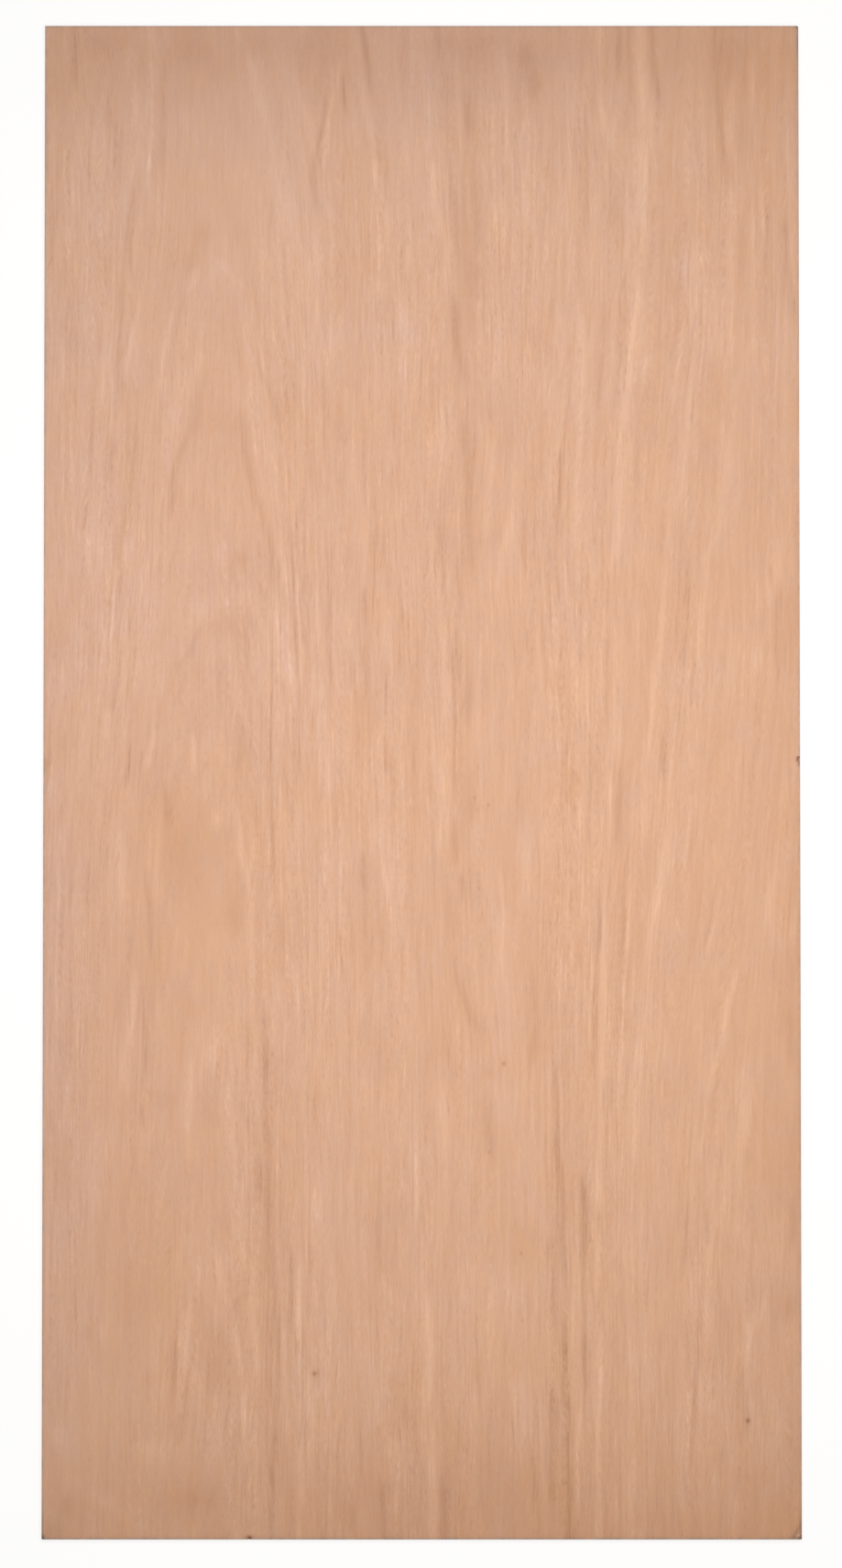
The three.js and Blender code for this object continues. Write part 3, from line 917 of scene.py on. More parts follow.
def face_figure(X, Y):
    """tone: wide streaks and patches. layers: the thin streaks, each layer an array
    of (signed distance from the streak's middle, strength, 1 / half-width)."""
    tone = np.zeros_like(X)
    for shade, x0, y0, sx, sy, lean in PATCHES:
        tone += shade * GRADE * bell(X, Y, x0, y0, sx, sy, lean)
    layers, taken = [], []
    for shade, hw, points in STREAKS + BROAD:
        a = shade * (GRADE if hw < 6.5 else BROAD_GRADE)
        mid, slope, here = streak_line(points, Y)
        sd = (X - mid) / np.sqrt(1 + slope * slope)
        if hw >= 6.5:
            tone += a * here * np.exp(-0.5 * (sd / hw) ** 2)
            continue
        reach = 3.6 * hw
        inside = (np.abs(sd) < reach) & (here > 0)
        room = (np.abs(sd) < reach + 2.2 * GAP) & (here > 0)
        grown = room.copy()
        grown[1:] |= room[:-1]
        grown[:-1] |= room[1:]
        for k, busy in enumerate(taken):
            if not (busy & grown).any():
                break
        else:
            layers.append(np.zeros(X.shape + (3,)))
            layers[-1][..., 0] = 50.0
            layers[-1][..., 2] = 0.3
            taken.append(np.zeros(X.shape, bool))
            k = len(taken) - 1
        near = (np.abs(sd) < reach + 1.1 * GAP) & (here > 0)
        layers[k][..., 0][near] = sd[near]
        layers[k][..., 1][near] = np.where(inside, a * here, 0)[near]
        layers[k][..., 2][near] = 1.0 / hw
        taken[k] |= room
    return tone, layers


# ------------------------------------------------------------------ the mesh

cad = BVHTree.FromPolygons(
    [v.co.copy() for v in node.data.vertices],
    [tuple(p.vertices) for p in node.data.polygons],
)


def cad_height(x, y):
    """Height of the CAD solid's top at a point, a hair inside its outline."""
    px = max(-HW + 0.04, min(HW - 0.04, x))
    py = max(-HL + 0.04, min(HL - 0.04, y))
    hit = cad.ray_cast(Vector((px * MM, py * MM, 0.1)), Vector((0, 0, -1)))
    return T if hit[0] is None else hit[0].z / MM


def lines(lo, hi, cell, fine):
    """Grid lines from lo to hi: about cell apart, closer near both ends and over
    each (from, to, step) in fine."""
    near_end = [0.0, 0.35, 0.8, 1.5, 2.5, 4.2, 7.0, 11.0]
    out = {round(lo + e, 4) for e in near_end} | {round(hi - e, 4) for e in near_end}
    for a, b, step in fine:
        n = max(1, int(round((b - a) / step)))
        out |= {round(a + (b - a) * i / n, 4) for i in range(n + 1)}
    n = int(round((hi - lo) / cell))
    for i in range(n + 1):
        p = lo + (hi - lo) * i / n
        if min(abs(p - q) for q in out) > cell * 0.45:
            out.add(round(p, 4))
    out = sorted(out)
    keep = [out[0]]
    for p in out[1:]:
        if p - keep[-1] > 0.3:
            keep.append(p)
    keep[-1] = out[-1]
    return np.array(keep)


IN = ARRIS  # the flat face stops this far inside the outline
xs = lines(
    -HW + IN,
    HW - IN,
    5.0,
    [(-284.0, -269.0, 0.95), (602.0, 609.0, 0.95), (592.0, 602.0, 2.0)],
)
ys = lines(
    -HL + IN,
    HL - IN,
    12.0,
    [(22.0, 42.0, 0.95), (-1219.0, -1211.0, 0.95), (-1211.0, -1194.0, 1.7)],
)
NX, NY = len(xs), len(ys)
GX, GY = np.meshgrid(xs, ys)  # [row along y, column along x]
PX, PY = GX.copy(), GY.copy()

# Pull the square corners of the grid in to the worn corners of the sheet.
for (sx, sy), radius in CORNERS.items():
    r = radius - IN
    cx, cy = sx * (HW - IN - r), sy * (HL - IN - r)
    u, v = (GX - cx) * sx / r, (GY - cy) * sy / r
    block = (u > 0) & (v > 0)
    uu, vv = u[block], v[block]
    PX[block] = cx + sx * r * uu * np.sqrt(1 - vv * vv / 2)
    PY[block] = cy + sy * r * vv * np.sqrt(1 - uu * uu / 2)

PZ = np.full_like(PX, T)
for j in range(NY):
    for i in range(NX):
        x, y = PX[j, i], PY[j, i]
        side = x > 596 and (abs(y - CHIP_SIDE[1]) < 14 or y < -1190)
        end = y < -1208 and (abs(x - CHIP_END[0]) < 12 or x > 590)
        if side or end:
            z = cad_height(x, y)
            if z < T - 0.02:  # torn wood, rougher across the grain than along it
                torn = ripple(x, y, 5, 1.6, 7.0) * 0.10 + ripple(x, y, 6, 0.9, 2.5) * 0.04
                z = min(T, z + torn * min(1.0, (T - z) * 2))
            PZ[j, i] = z

# Points: the face grid, then rings round the perimeter, then the back grid.
verts = [(PX.ravel(), PY.ravel(), PZ.ravel())]
rim = (
    [(0, i) for i in range(NX)]
    + [(j, NX - 1) for j in range(1, NY)]
    + [(NY - 1, i) for i in range(NX - 2, -1, -1)]
    + [(j, 0) for j in range(NY - 2, 0, -1)]
)
RIM = len(rim)
rj, ri = np.array(rim).T
rx, ry, rz = PX[rj, ri], PY[rj, ri], PZ[rj, ri]
out_x = np.where(ri == NX - 1, 1.0, np.where(ri == 0, -1.0, 0.0))
out_y = np.where(rj == NY - 1, 1.0, np.where(rj == 0, -1.0, 0.0))
for (sx, sy), radius in CORNERS.items():
    r = radius - IN
    cx, cy = sx * (HW - IN - r), sy * (HL - IN - r)
    at = ((rx - cx) * sx >= -1e-9) & ((ry - cy) * sy >= -1e-9)
    out_x = np.where(at, (rx - cx) / r, out_x)
    out_y = np.where(at, (ry - cy) / r, out_y)
size = np.hypot(out_x, out_y)
out_x, out_y = out_x / size, out_y / size

MID = ARRIS * math.sin(math.pi / 4)
rings = []  # each: (x, y, z) of the points round the perimeter


def ring(offset, height, top):
    x, y = rx + out_x * offset, ry + out_y * offset
    z = np.full(RIM, float(height))
    if top:
        for k in range(RIM):
            low = (x[k] > 600 and (abs(y[k] - CHIP_SIDE[1]) < 12 or y[k] < -1190)) or (
                y[k] < -1214 and (abs(x[k] - CHIP_END[0]) < 10 or x[k] > 590)
            )
            if low:
                z[k] = min(height, cad_height(x[k], y[k]))
    rings.append((x, y, z))


ring(MID, T - ARRIS + MID, True)
ring(ARRIS, T - ARRIS, True)
for z in (T - 2.6, 12.0, 9.0, 6.0, 3.0, ARRIS):
    ring(ARRIS, z, False)
ring(MID, ARRIS - MID, False)
ring(0.0, 0.0, False)
first_ring = NX * NY
for x, y, z in rings:
    verts.append((x, y, z))
last_ring = first_ring + RIM * (len(rings) - 1)


# The back: fewer lines, and its border cells take every point of the perimeter.
def fewer(a, cell):
    keep = [0]
    for k in range(1, len(a) - 1):
        if a[k] - a[keep[-1]] >= cell and a[-1] - a[k] >= cell * 0.7:
            keep.append(k)
    return keep + [len(a) - 1]


bi, bj = fewer(xs, 20.0), fewer(ys, 44.0)
back_index = {}
bx, by = [], []
start = last_ring + RIM
for j in bj[1:-1]:
    for i in bi[1:-1]:
        back_index[(j, i)] = start + len(bx)
        bx.append(PX[j, i])
        by.append(PY[j, i])
for k, (j, i) in enumerate(rim):
    back_index[(j, i)] = last_ring + k
verts.append((np.array(bx), np.array(by), np.zeros(len(bx))))

co = np.concatenate([np.stack(v, -1) for v in verts])
NV = len(co)

faces = []
FACE, EDGE, BACK = 0, 1, 2
kind = []
for j in range(NY - 1):
    for i in range(NX - 1):
        a = j * NX + i
        faces.append((a, a + 1, a + NX + 1, a + NX))
        kind.append(FACE)
grid_ring = [j * NX + i for j, i in rim]
previous = grid_ring
for k in range(len(rings)):
    now = [first_ring + k * RIM + m for m in range(RIM)]
    for m in range(RIM):
        n = (m + 1) % RIM
        faces.append((previous[n], previous[m], now[m], now[n]))
        kind.append(FACE if k == 0 else (BACK if k == len(rings) - 1 else EDGE))
    previous = now
for q in range(len(bj) - 1):
    for p in range(len(bi) - 1):
        j0, j1, i0, i1 = bj[q], bj[q + 1], bi[p], bi[p + 1]
        loop = []
        walk_i = range(i0, i1) if j0 == 0 else [i0]
        loop += [(j0, i) for i in walk_i]
        walk_j = range(j0, j1) if i1 == NX - 1 else [j0]
        loop += [(j, i1) for j in walk_j]
        walk_i = range(i1, i0, -1) if j1 == NY - 1 else [i1]
        loop += [(j1, i) for i in walk_i]
        walk_j = range(j1, j0, -1) if i0 == 0 else [j1]
        loop += [(j, i0) for j in walk_j]
        faces.append(tuple(back_index[c] for c in reversed(loop)))
        kind.append(BACK)

mesh = bpy.data.meshes.new("plywood_sheet_detail")
mesh.from_pydata([tuple(c) for c in co * MM], [], faces)
mesh.update()
sheet = bpy.data.objects.new("plywood_sheet_detail", mesh)
bpy.context.scene.collection.objects.link(sheet)
kind = np.array(kind)
mesh.polygons.foreach_set("material_index", kind.astype(np.int32))
mesh.polygons.foreach_set("use_smooth", np.ones(len(faces), bool))
mesh.set_sharp_from_angle(angle=math.radians(18))


# ------------------------------------------------------- what the points carry


def put(name, values):
    """A number, or three, for each point of the mesh."""
    values = np.asarray(values, np.float32)
    if values.ndim == 1:
        mesh.attributes.new(name, "FLOAT", "POINT").data.foreach_set("value", values)
    else:
        mesh.attributes.new(name, "FLOAT_VECTOR", "POINT").data.foreach_set(
            "vector", values.ravel()
        )


CX, CY = co[:, 0], co[:, 1]
ring_grid = leaning(xs, ys, LEANS)  # by grid point
lean_grid = leaning(xs, ys, LEANS + FIBRE_LEANS)

# For points off the face grid, the same fields by the nearest grid point.
near_i = np.abs(CX[:, None] - xs[None, :]).argmin(1)
near_j = np.abs(CY[:, None] - ys[None, :]).argmin(1)
carried = lean_grid[near_j, near_i] + (CX - xs[near_i])
v, d = ring_flow(ring_grid[near_j, near_i] + (CX - xs[near_i]), CY)
v = v + 2.2 * ripple(CX, CY, 11, 90, 320) + 3.0 * ripple(CX, CY, 12, 260, 700)
side = np.clip(d / 60.0, -3, 3)  # sets the two arms of an arch apart
put("flow", np.stack([v, carried, side], -1))

tone_grid, layers = face_figure(GX, GY)
put("tone", tone_grid[near_j, near_i])
lively = np.ones(NV)
for change, x0, y0, sx, sy in LIVELY:
    lively += change * bell(CX, CY, x0, y0, sx, sy)
put("lively", np.clip(lively, 0.4, 1.7))
calm = np.ones(NV)
for change, x0, y0, sx, sy in CALM:
    calm += change * bell(CX, CY, x0, y0, sx, sy)
put("calm", np.clip(calm, 0.35, 1.5))
hue = np.zeros(NV)
for amount, x0, y0, sx, sy in HUES:
    hue += amount * bell(CX, CY, x0, y0, sx, sy)
put("hue", hue)
for k, layer in enumerate(layers):
    put(f"streak_{k}", layer[near_j, near_i])
print("streak layers", len(layers), "points", NV, "faces", len(faces))

# On the edges: distance along the edge, and 0 on the long edges or 1 on the ends.
on_end = np.abs(CY) > HL - 2
put("edge", np.stack([np.where(on_end, CX, CY), on_end.astype(float), np.zeros(NV)], -1))

# The back has its own, plainer figure.
back_v = CX + 14 * np.sin(CY / 420.0 + 1.0) * np.exp(-(((CX - 140) / 320) ** 2))
back_v = back_v + 5 * ripple(CX, CY, 31, 200, 900)
put("back_flow", np.stack([back_v, CY, np.zeros(NV)], -1))

# ------------------------------------------------------------------ bake layout
# One map: the face below, the back above it, and the four edges as strips on top.

loops = np.empty(len(mesh.loops), np.int32)
mesh.loops.foreach_get("vertex_index", loops)
per_loop_kind = np.repeat(kind, [len(f) for f in faces])
uv = np.zeros((len(loops), 2))
px = 1.0 / 1024
X, Y, Z = co[loops, 0], co[loops, 1], co[loops, 2]
across = (X + HW) / W
along = (Y + HL) / L
pad = 5 * px
m = per_loop_kind == FACE
uv[m, 0] = pad + across[m] * (1 - 2 * pad)
uv[m, 1] = pad + along[m] * (560 * px - 2 * pad)
m = per_loop_kind == BACK
uv[m, 0] = pad + across[m] * (1 - 2 * pad)
uv[m, 1] = 565 * px + along[m] * (320 * px)
# a face of the edge strips belongs to the side that it looks out of
normals = np.empty(len(faces) * 3, np.float32)
mesh.polygons.foreach_get("normal", normals)
normals = normals.reshape(-1, 3)
per_loop_face = np.repeat(np.arange(len(faces)), [len(f) for f in faces])
fn = normals[per_loop_face]
strip = np.where(
    np.abs(fn[:, 0]) > np.abs(fn[:, 1]),
    np.where(fn[:, 0] > 0, 0, 1),
    np.where(fn[:, 1] > 0, 2, 3),
)
m = per_loop_kind == EDGE
run = np.where(strip < 2, along, across)
uv[m, 0] = pad + run[m] * (1 - 2 * pad)
uv[m, 1] = (894 + 33 * strip[m]) * px + (Z[m] / T) * 26 * px
layer = mesh.uv_layers.new(name="OFBake")
layer.data.foreach_set("uv", uv.astype(np.float32).ravel())


# ------------------------------------------------------------------- materials


class Nodes:
    """Shorthand for a material's nodes. Values are numbers or sockets."""

    def __init__(self, name):
        self.mat = bpy.data.materials.new(name)
        self.mat.use_nodes = True
        self.tree = self.mat.node_tree
        self.tree.nodes.clear()
        self.shader = self.tree.nodes.new("ShaderNodeBsdfPrincipled")
        out = self.tree.nodes.new("ShaderNodeOutputMaterial")
        self.tree.links.new(self.shader.outputs["BSDF"], out.inputs["Surface"])
        where = self.tree.nodes.new("ShaderNodeTexCoord").outputs["Object"]
        mm = self.vmath("SCALE", where, scale=1000.0)
        self.x, self.y, self.z = self.split(mm)

    def set(self, socket, value):
        if isinstance(value, bpy.types.NodeSocket):
            self.tree.links.new(value, socket)
        else:
            socket.default_value = value

    def math(self, op, a, b=0.0, c=0.0, clamp=False):
        n = self.tree.nodes.new("ShaderNodeMath")
        n.operation, n.use_clamp = op, clamp
        for s, value in zip(n.inputs, (a, b, c)):
            self.set(s, value)
        return n.outputs[0]

    def vmath(self, op, a, b=(0, 0, 0), scale=1.0):
        n = self.tree.nodes.new("ShaderNodeVectorMath")
        n.operation = op
        self.set(n.inputs[0], a)
        self.set(n.inputs[1], b)
        self.set(n.inputs["Scale"], scale)
        return n.outputs[0]

    def add(self, *terms):
        total = terms[0]
        for t in terms[1:]:
            total = self.math("ADD", total, t)
        return total

    def mul(self, *terms):
        total = terms[0]
        for t in terms[1:]:
            total = self.math("MULTIPLY", total, t)
        return total

    def split(self, v):
        n = self.tree.nodes.new("ShaderNodeSeparateXYZ")
        self.set(n.inputs[0], v)
        return n.outputs[0], n.outputs[1], n.outputs[2]

    def join(self, x=0.0, y=0.0, z=0.0):
        n = self.tree.nodes.new("ShaderNodeCombineXYZ")
        for s, value in zip(n.inputs, (x, y, z)):
            self.set(s, value)
        return n.outputs[0]

    def colour(self, r, g, b):
        n = self.tree.nodes.new("ShaderNodeCombineColor")
        for s, value in zip(n.inputs, (r, g, b)):
            self.set(s, value)
        return n.outputs[0]

    def attribute(self, name):
        n = self.tree.nodes.new("ShaderNodeAttribute")
        n.attribute_name = name
        return n

    def noise(self, x, y, z=None, cell=(1, 1, 1), seed=0.0, detail=0.0, rough=0.5, bend=0.0):
        """Noise about zero, from -1 to 1. cell is its grain size along each input."""
        n = self.tree.nodes.new("ShaderNodeTexNoise")
        n.noise_dimensions = "2D" if z is None else "3D"
        px = self.math("MULTIPLY_ADD", x, 1.0 / cell[0], seed * 17.31 + 3.7)
        py = self.math("MULTIPLY_ADD", y, 1.0 / cell[1], seed * 9.77 + 1.9)
        pz = 0.0 if z is None else self.math("MULTIPLY_ADD", z, 1.0 / cell[2], seed * 5.13)
        self.set(n.inputs["Vector"], self.join(px, py, pz))
        n.inputs["Scale"].default_value = 1.0
        n.inputs["Detail"].default_value = detail
        n.inputs["Roughness"].default_value = rough
        n.inputs["Distortion"].default_value = bend
        return self.math("MULTIPLY_ADD", n.outputs[0], 2.0, -1.0)

    def ramp(self, value, lo, hi, out_lo=0.0, out_hi=1.0):
        n = self.tree.nodes.new("ShaderNodeMapRange")
        n.interpolation_type = "SMOOTHSTEP"
        for s, q in zip(n.inputs, (value, lo, hi, out_lo, out_hi)):
            self.set(s, q)
        return n.outputs[0]

    def mix(self, t, a, b):
        """a where t is 0, b where t is 1."""
        return self.add(self.mul(a, self.math("SUBTRACT", 1.0, t)), self.mul(b, t))

    def finish(self, rgb, rough, height, depth=0.00005):
        self.set(self.shader.inputs["Base Color"], self.colour(*rgb))
        self.set(self.shader.inputs["Roughness"], rough)
        self.shader.inputs["IOR"].default_value = 1.5
        self.shader.inputs["Specular IOR Level"].default_value = 0.32
        bump = self.tree.nodes.new("ShaderNodeBump")
        bump.inputs["Strength"].default_value = 0.55
        bump.inputs["Distance"].default_value = depth
        self.set(bump.inputs["Height"], height)
        self.tree.links.new(bump.outputs["Normal"], self.shader.inputs["Normal"])
        return self.mat


# The grain noise of the face: cell across the grain, cells along it in long, middling
# and short lengths, how much of each, and the strength of the whole band.
BANDS = [
    (2.5, (80, 28, 7), (0.31, 0.27, 0.42), 0.019),
    (4.8, (170, 50, 10), (0.32, 0.24, 0.44), 0.083),
    (10.0, (290, 72, 12), (0.46, 0.22, 0.32), 0.050),
    (20.0, (650, 120, 16), (0.48, 0.21, 0.31), 0.021),
    (40.0, (1300, 190, 23), (0.51, 0.21, 0.28), 0.014),
    (85.0, (1800, 300, 55), (0.55, 0.23, 0.22), 0.016),
    (210.0, (1800, 500, 180), (0.52, 0.28, 0.20), 0.022),
]

# Colour of the bare veneer where it is neither light nor dark.
WOOD = (0.668, 0.3945, 0.261)
# How strongly red, green and blue follow the light and dark of the figure.
FOLLOW = (0.81, 1.07, 1.22)


def tinted(n, level, shift, gradient):
    """Wood colour at a level of lightness (1 = plain). shift adds orange."""
    rgb = []
    for k in range(3):
        c = n.mul(n.math("POWER", level, FOLLOW[k]), WOOD[k])
        c = n.mul(c, gradient[k])
        if k != 1:
            c = n.mul(c, n.math("MULTIPLY_ADD", shift, (0.9, 0, -2.2)[k], 1.0))
        rgb.append(c)
    return rgb


def face_material():
    n = Nodes("face_veneer")
    flow = n.attribute("flow").outputs["Vector"]
    v, xf, side = n.split(flow)
    x, y = n.x, n.y
    # the fibres wander a little on their way up the sheet
    stray = n.add(
        n.mul(n.noise(xf, y, cell=(60, 190), seed=50), 2.6),
        n.mul(n.noise(xf, y, cell=(24, 75), seed=51), 1.2),
    )
    # and stand closer together in some places than in others
    crowd = n.add(
        n.mul(n.noise(xf, y, cell=(19, 520), seed=52), 4.2),
        n.mul(n.noise(xf, y, cell=(47, 700), seed=53), 6.0),
    )
    xw, vw = n.add(xf, stray, crowd), n.add(v, stray, n.mul(crowd, 0.6))
    # neighbouring streaks begin and end at different heights
    ys = n.add(
        y,
        n.mul(n.noise(xw, y, cell=(4.3, 900), seed=54), 34.0),
        n.mul(n.noise(xw, y, cell=(13, 900), seed=55), 60.0),
    )
    # The grain, from fine pores to wide bands. Each width of streak comes in long,
    # middling and short lengths, so that a streak is broken along its way.
    g = []
    for k, (across, lengths, shares, _) in enumerate(BANDS):
        total = None
        for m, (length, share) in enumerate(zip(lengths, shares)):
            if k < 2 or m == 2:
                one = n.noise(xw, ys, cell=(across, length), seed=1 + k + 10 * m)
            else:
                one = n.noise(vw, ys, side, cell=(across, length, 2.5), seed=1 + k + 10 * m)
            one = n.mul(one, math.sqrt(share))
            total = one if total is None else n.add(total, one)
        g.append(total)
    # the finest lines are few and sharp on quieter ground
    for k, (plain, sharp) in enumerate(((0.36, 1.50), (0.7, 0.65))):
        g[k] = n.mul(g[k], n.math("MULTIPLY_ADD", n.math("ABSOLUTE", g[k]), sharp, plain))
    fibre = n.noise(xw, y, cell=(0.62, 9), seed=70)

    # long thin lines, as where one growth ring meets the next
    def ring_line(cell, length, seed, width):
        at = n.mul(n.noise(vw, y, side, cell=(cell, length, 2.5), seed=seed), 1.0 / width)
        return n.math("EXPONENT", n.mul(at, at, -1.0))

    dark_line = n.mul(ring_line(17, 700, 61, 0.14), n.ramp(n.noise(xw, y, cell=(26, 130), seed=62), -0.2, 0.5))
    light_line = n.mul(ring_line(19, 700, 63, 0.15), n.ramp(n.noise(xw, y, cell=(26, 130), seed=64), -0.2, 0.5))
    # short open pores: dark dashes, closer together in some bands than others
    pore_a = n.noise(xw, y, cell=(0.8, 7), seed=71)
    pore_b = n.noise(xw, y, cell=(1.25, 13), seed=72)
    pores = n.add(n.ramp(pore_a, 0.28, 0.52), n.mul(n.ramp(pore_b, 0.30, 0.55), 0.8))
    busy = n.ramp(g[3], -0.5, 0.5, 0.35, 1.3)
    # some of the face is streaky and some of it plain
    lively = n.ramp(n.noise(v, y, side, cell=(55, 380, 2.5), seed=65), -0.45, 0.45, 0.78, 1.22)
    lively = n.mul(lively, n.attribute("lively").outputs["Fac"])
    fine = n.add(
        n.mul(fibre, 0.024),
        n.mul(g[0], BANDS[0][3]),
        n.mul(g[1], BANDS[1][3]),
        n.mul(pores, busy, -0.042),
    )
    wide = n.add(*[n.mul(g[k], BANDS[k][3]) for k in range(2, len(BANDS))])
    wide = n.add(wide, n.mul(dark_line, -0.036), n.mul(light_line, 0.032))
    wide = n.mul(wide, n.attribute("calm").outputs["Fac"])
    grain = n.add(n.mul(fine, lively), wide)
    # stray dark ticks where a pore has picked up dirt
    tick = n.noise(xw, y, cell=(2.6, 11), seed=66)
    grain = n.add(grain, n.mul(n.ramp(tick, 0.66, 0.82), -0.05))
    # the placed streaks, frayed along their edges and broken along their length
    fray = n.add(
        n.mul(n.noise(xf, y, cell=(9, 55), seed=12), 1.8),
        n.mul(n.noise(xf, y, cell=(30, 160), seed=13), 3.0),
    )
    placed = None
    breaks = n.add(n.mul(n.noise(xw, y, cell=(3.0, 75), seed=14), 1.0), n.mul(g[0], 0.5))
    for k in range(len(layers)):
        sd, amp, inv = n.split(n.attribute(f"streak_{k}").outputs["Vector"])
        t = n.mul(n.add(sd, fray), inv)
        one = n.mul(amp, n.math("EXPONENT", n.mul(t, t, -0.5)))
        loose = n.ramp(inv, 0.15, 0.36, 0.35, 1.1)  # the wide ones are hardly broken
        one = n.mul(one, n.math("MAXIMUM", n.math("MULTIPLY_ADD", breaks, loose, 1.0), 0.1))
        placed = one if placed is None else n.add(placed, one)
    tone = n.mul(n.attribute("tone").outputs["Fac"], n.math("MAXIMUM", n.add(1.0, n.mul(g[1], 0.5), n.mul(g[0], 0.3)), 0.0))
    level = n.add(1.0, grain, placed, tone)
    # pin knots: a dark eye with a smear of darker grain above and below
    for kx, ky, r, dark in KNOTS:
        dx = n.mul(n.math("SUBTRACT", x, float(kx)), 1.0 / r)
        dy = n.mul(n.math("SUBTRACT", y, float(ky)), 1.0 / r)
        q = n.add(n.mul(dx, dx), n.mul(dy, dy, 0.8))
        eye = n.math("EXPONENT", n.mul(q, -0.9))
        q2 = n.add(n.mul(dx, dx, 0.35), n.mul(dy, dy, 0.03))
        smear = n.math("EXPONENT", n.mul(q2, -1.0))
        level = n.add(level, n.mul(eye, -dark), n.mul(smear, -0.16 * dark))
    # the outer centimetre or so is a little darker
    ex_r = n.math("SUBTRACT", HW, x)
    ex_l = n.math("ADD", HW, x)
    ey_t = n.math("SUBTRACT", HL, y)
    ey_b = n.math("ADD", HL, y)
    soiled = None
    for dist, strength, reach in ((ex_l, 0.012, 9.0), (ex_r, 0.030, 16.0), (ey_t, 0.010, 8.0), (ey_b, 0.045, 7.0)):
        part = n.mul(n.math("EXPONENT", n.mul(dist, -1.0 / reach)), strength)
        soiled = part if soiled is None else n.add(soiled, part)
    smudge = n.math("MAXIMUM", n.math("MULTIPLY_ADD", n.noise(x, y, cell=(40, 60), seed=18), 1.2, 1.0), 0.0)
    level = n.math("MAXIMUM", n.math("SUBTRACT", level, n.mul(soiled, smudge)), 0.12)
    # torn wood in the chips and the crushed corner is darker
    down = n.ramp(n.math("SUBTRACT", T, n.z), 0.03, 0.6)
    level = n.mul(level, n.math("MULTIPLY_ADD", down, -0.42, 1.0))
    # slow drift of colour: paler and pinker at the top left, browner at the bottom right
    gradient = (
        1.0,
        n.add(1.0, n.mul(x, -0.0000175), n.mul(y, 0.0000190)),
        n.add(1.0, n.mul(x, -0.000058), n.mul(y, 0.000050)),
    )
    shift = n.add(
        n.mul(n.noise(xw, y, cell=(15, 34), seed=16), 0.017),
        n.mul(n.noise(v, y, cell=(60, 110), seed=17), 0.015),
        n.mul(wide, -0.14),
        n.mul(tone, -0.14),
        n.attribute("hue").outputs["Fac"],
    )
    rgb = tinted(n, level, shift, gradient)
    # the arris and the last millimetres beside it are grey-brown from handling
    worn = None
    low = n.ramp(y, -150.0, 150.0, 1.0, 0.75)
    for dist, strength in ((ex_l, 0.9), (ex_r, n.mul(low, 0.9)), (ey_t, 0.75), (ey_b, 1.35)):
        part = n.mul(n.math("EXPONENT", n.mul(dist, -0.5)), strength)
        worn = part if worn is None else n.add(worn, part)
    wob = n.noise(x, y, cell=(16, 16), seed=15, detail=2)
    worn = n.mul(worn, n.math("MAXIMUM", n.math("MULTIPLY_ADD", wob, 1.1, 1.0), 0.1))
    rgb = [n.mul(c, n.math("MULTIPLY_ADD", worn, -q, 1.0)) for c, q in zip(rgb, (0.35, 0.24, 0.08))]
    # marks: each multiplies the colour of the wood under it
    for mx, my, rx, ry, turn, tint in MARKS:
        dx, dy = n.math("SUBTRACT", x, float(mx)), n.math("SUBTRACT", y, float(my))
        c, q = math.cos(math.radians(turn)), math.sin(math.radians(turn))
        u = n.mul(n.add(n.mul(dx, c), n.mul(dy, q)), 1.0 / rx)
        w = n.mul(n.add(n.mul(dy, c), n.mul(dx, -q)), 1.0 / ry)
        spot = n.math("EXPONENT", n.mul(n.add(n.mul(u, u), n.mul(w, w)), -0.7))
        rgb = [n.mul(c, n.math("MULTIPLY_ADD", spot, t - 1.0, 1.0)) for c, t in zip(rgb, tint)]
    rough = n.add(0.62, n.mul(g[2], 0.05), n.mul(pores, 0.05))
    height = n.add(n.mul(fibre, 0.25), n.mul(g[0], 0.3), n.mul(pores, -0.5), n.mul(g[2], 0.3))
    return n.finish(rgb, rough, height)


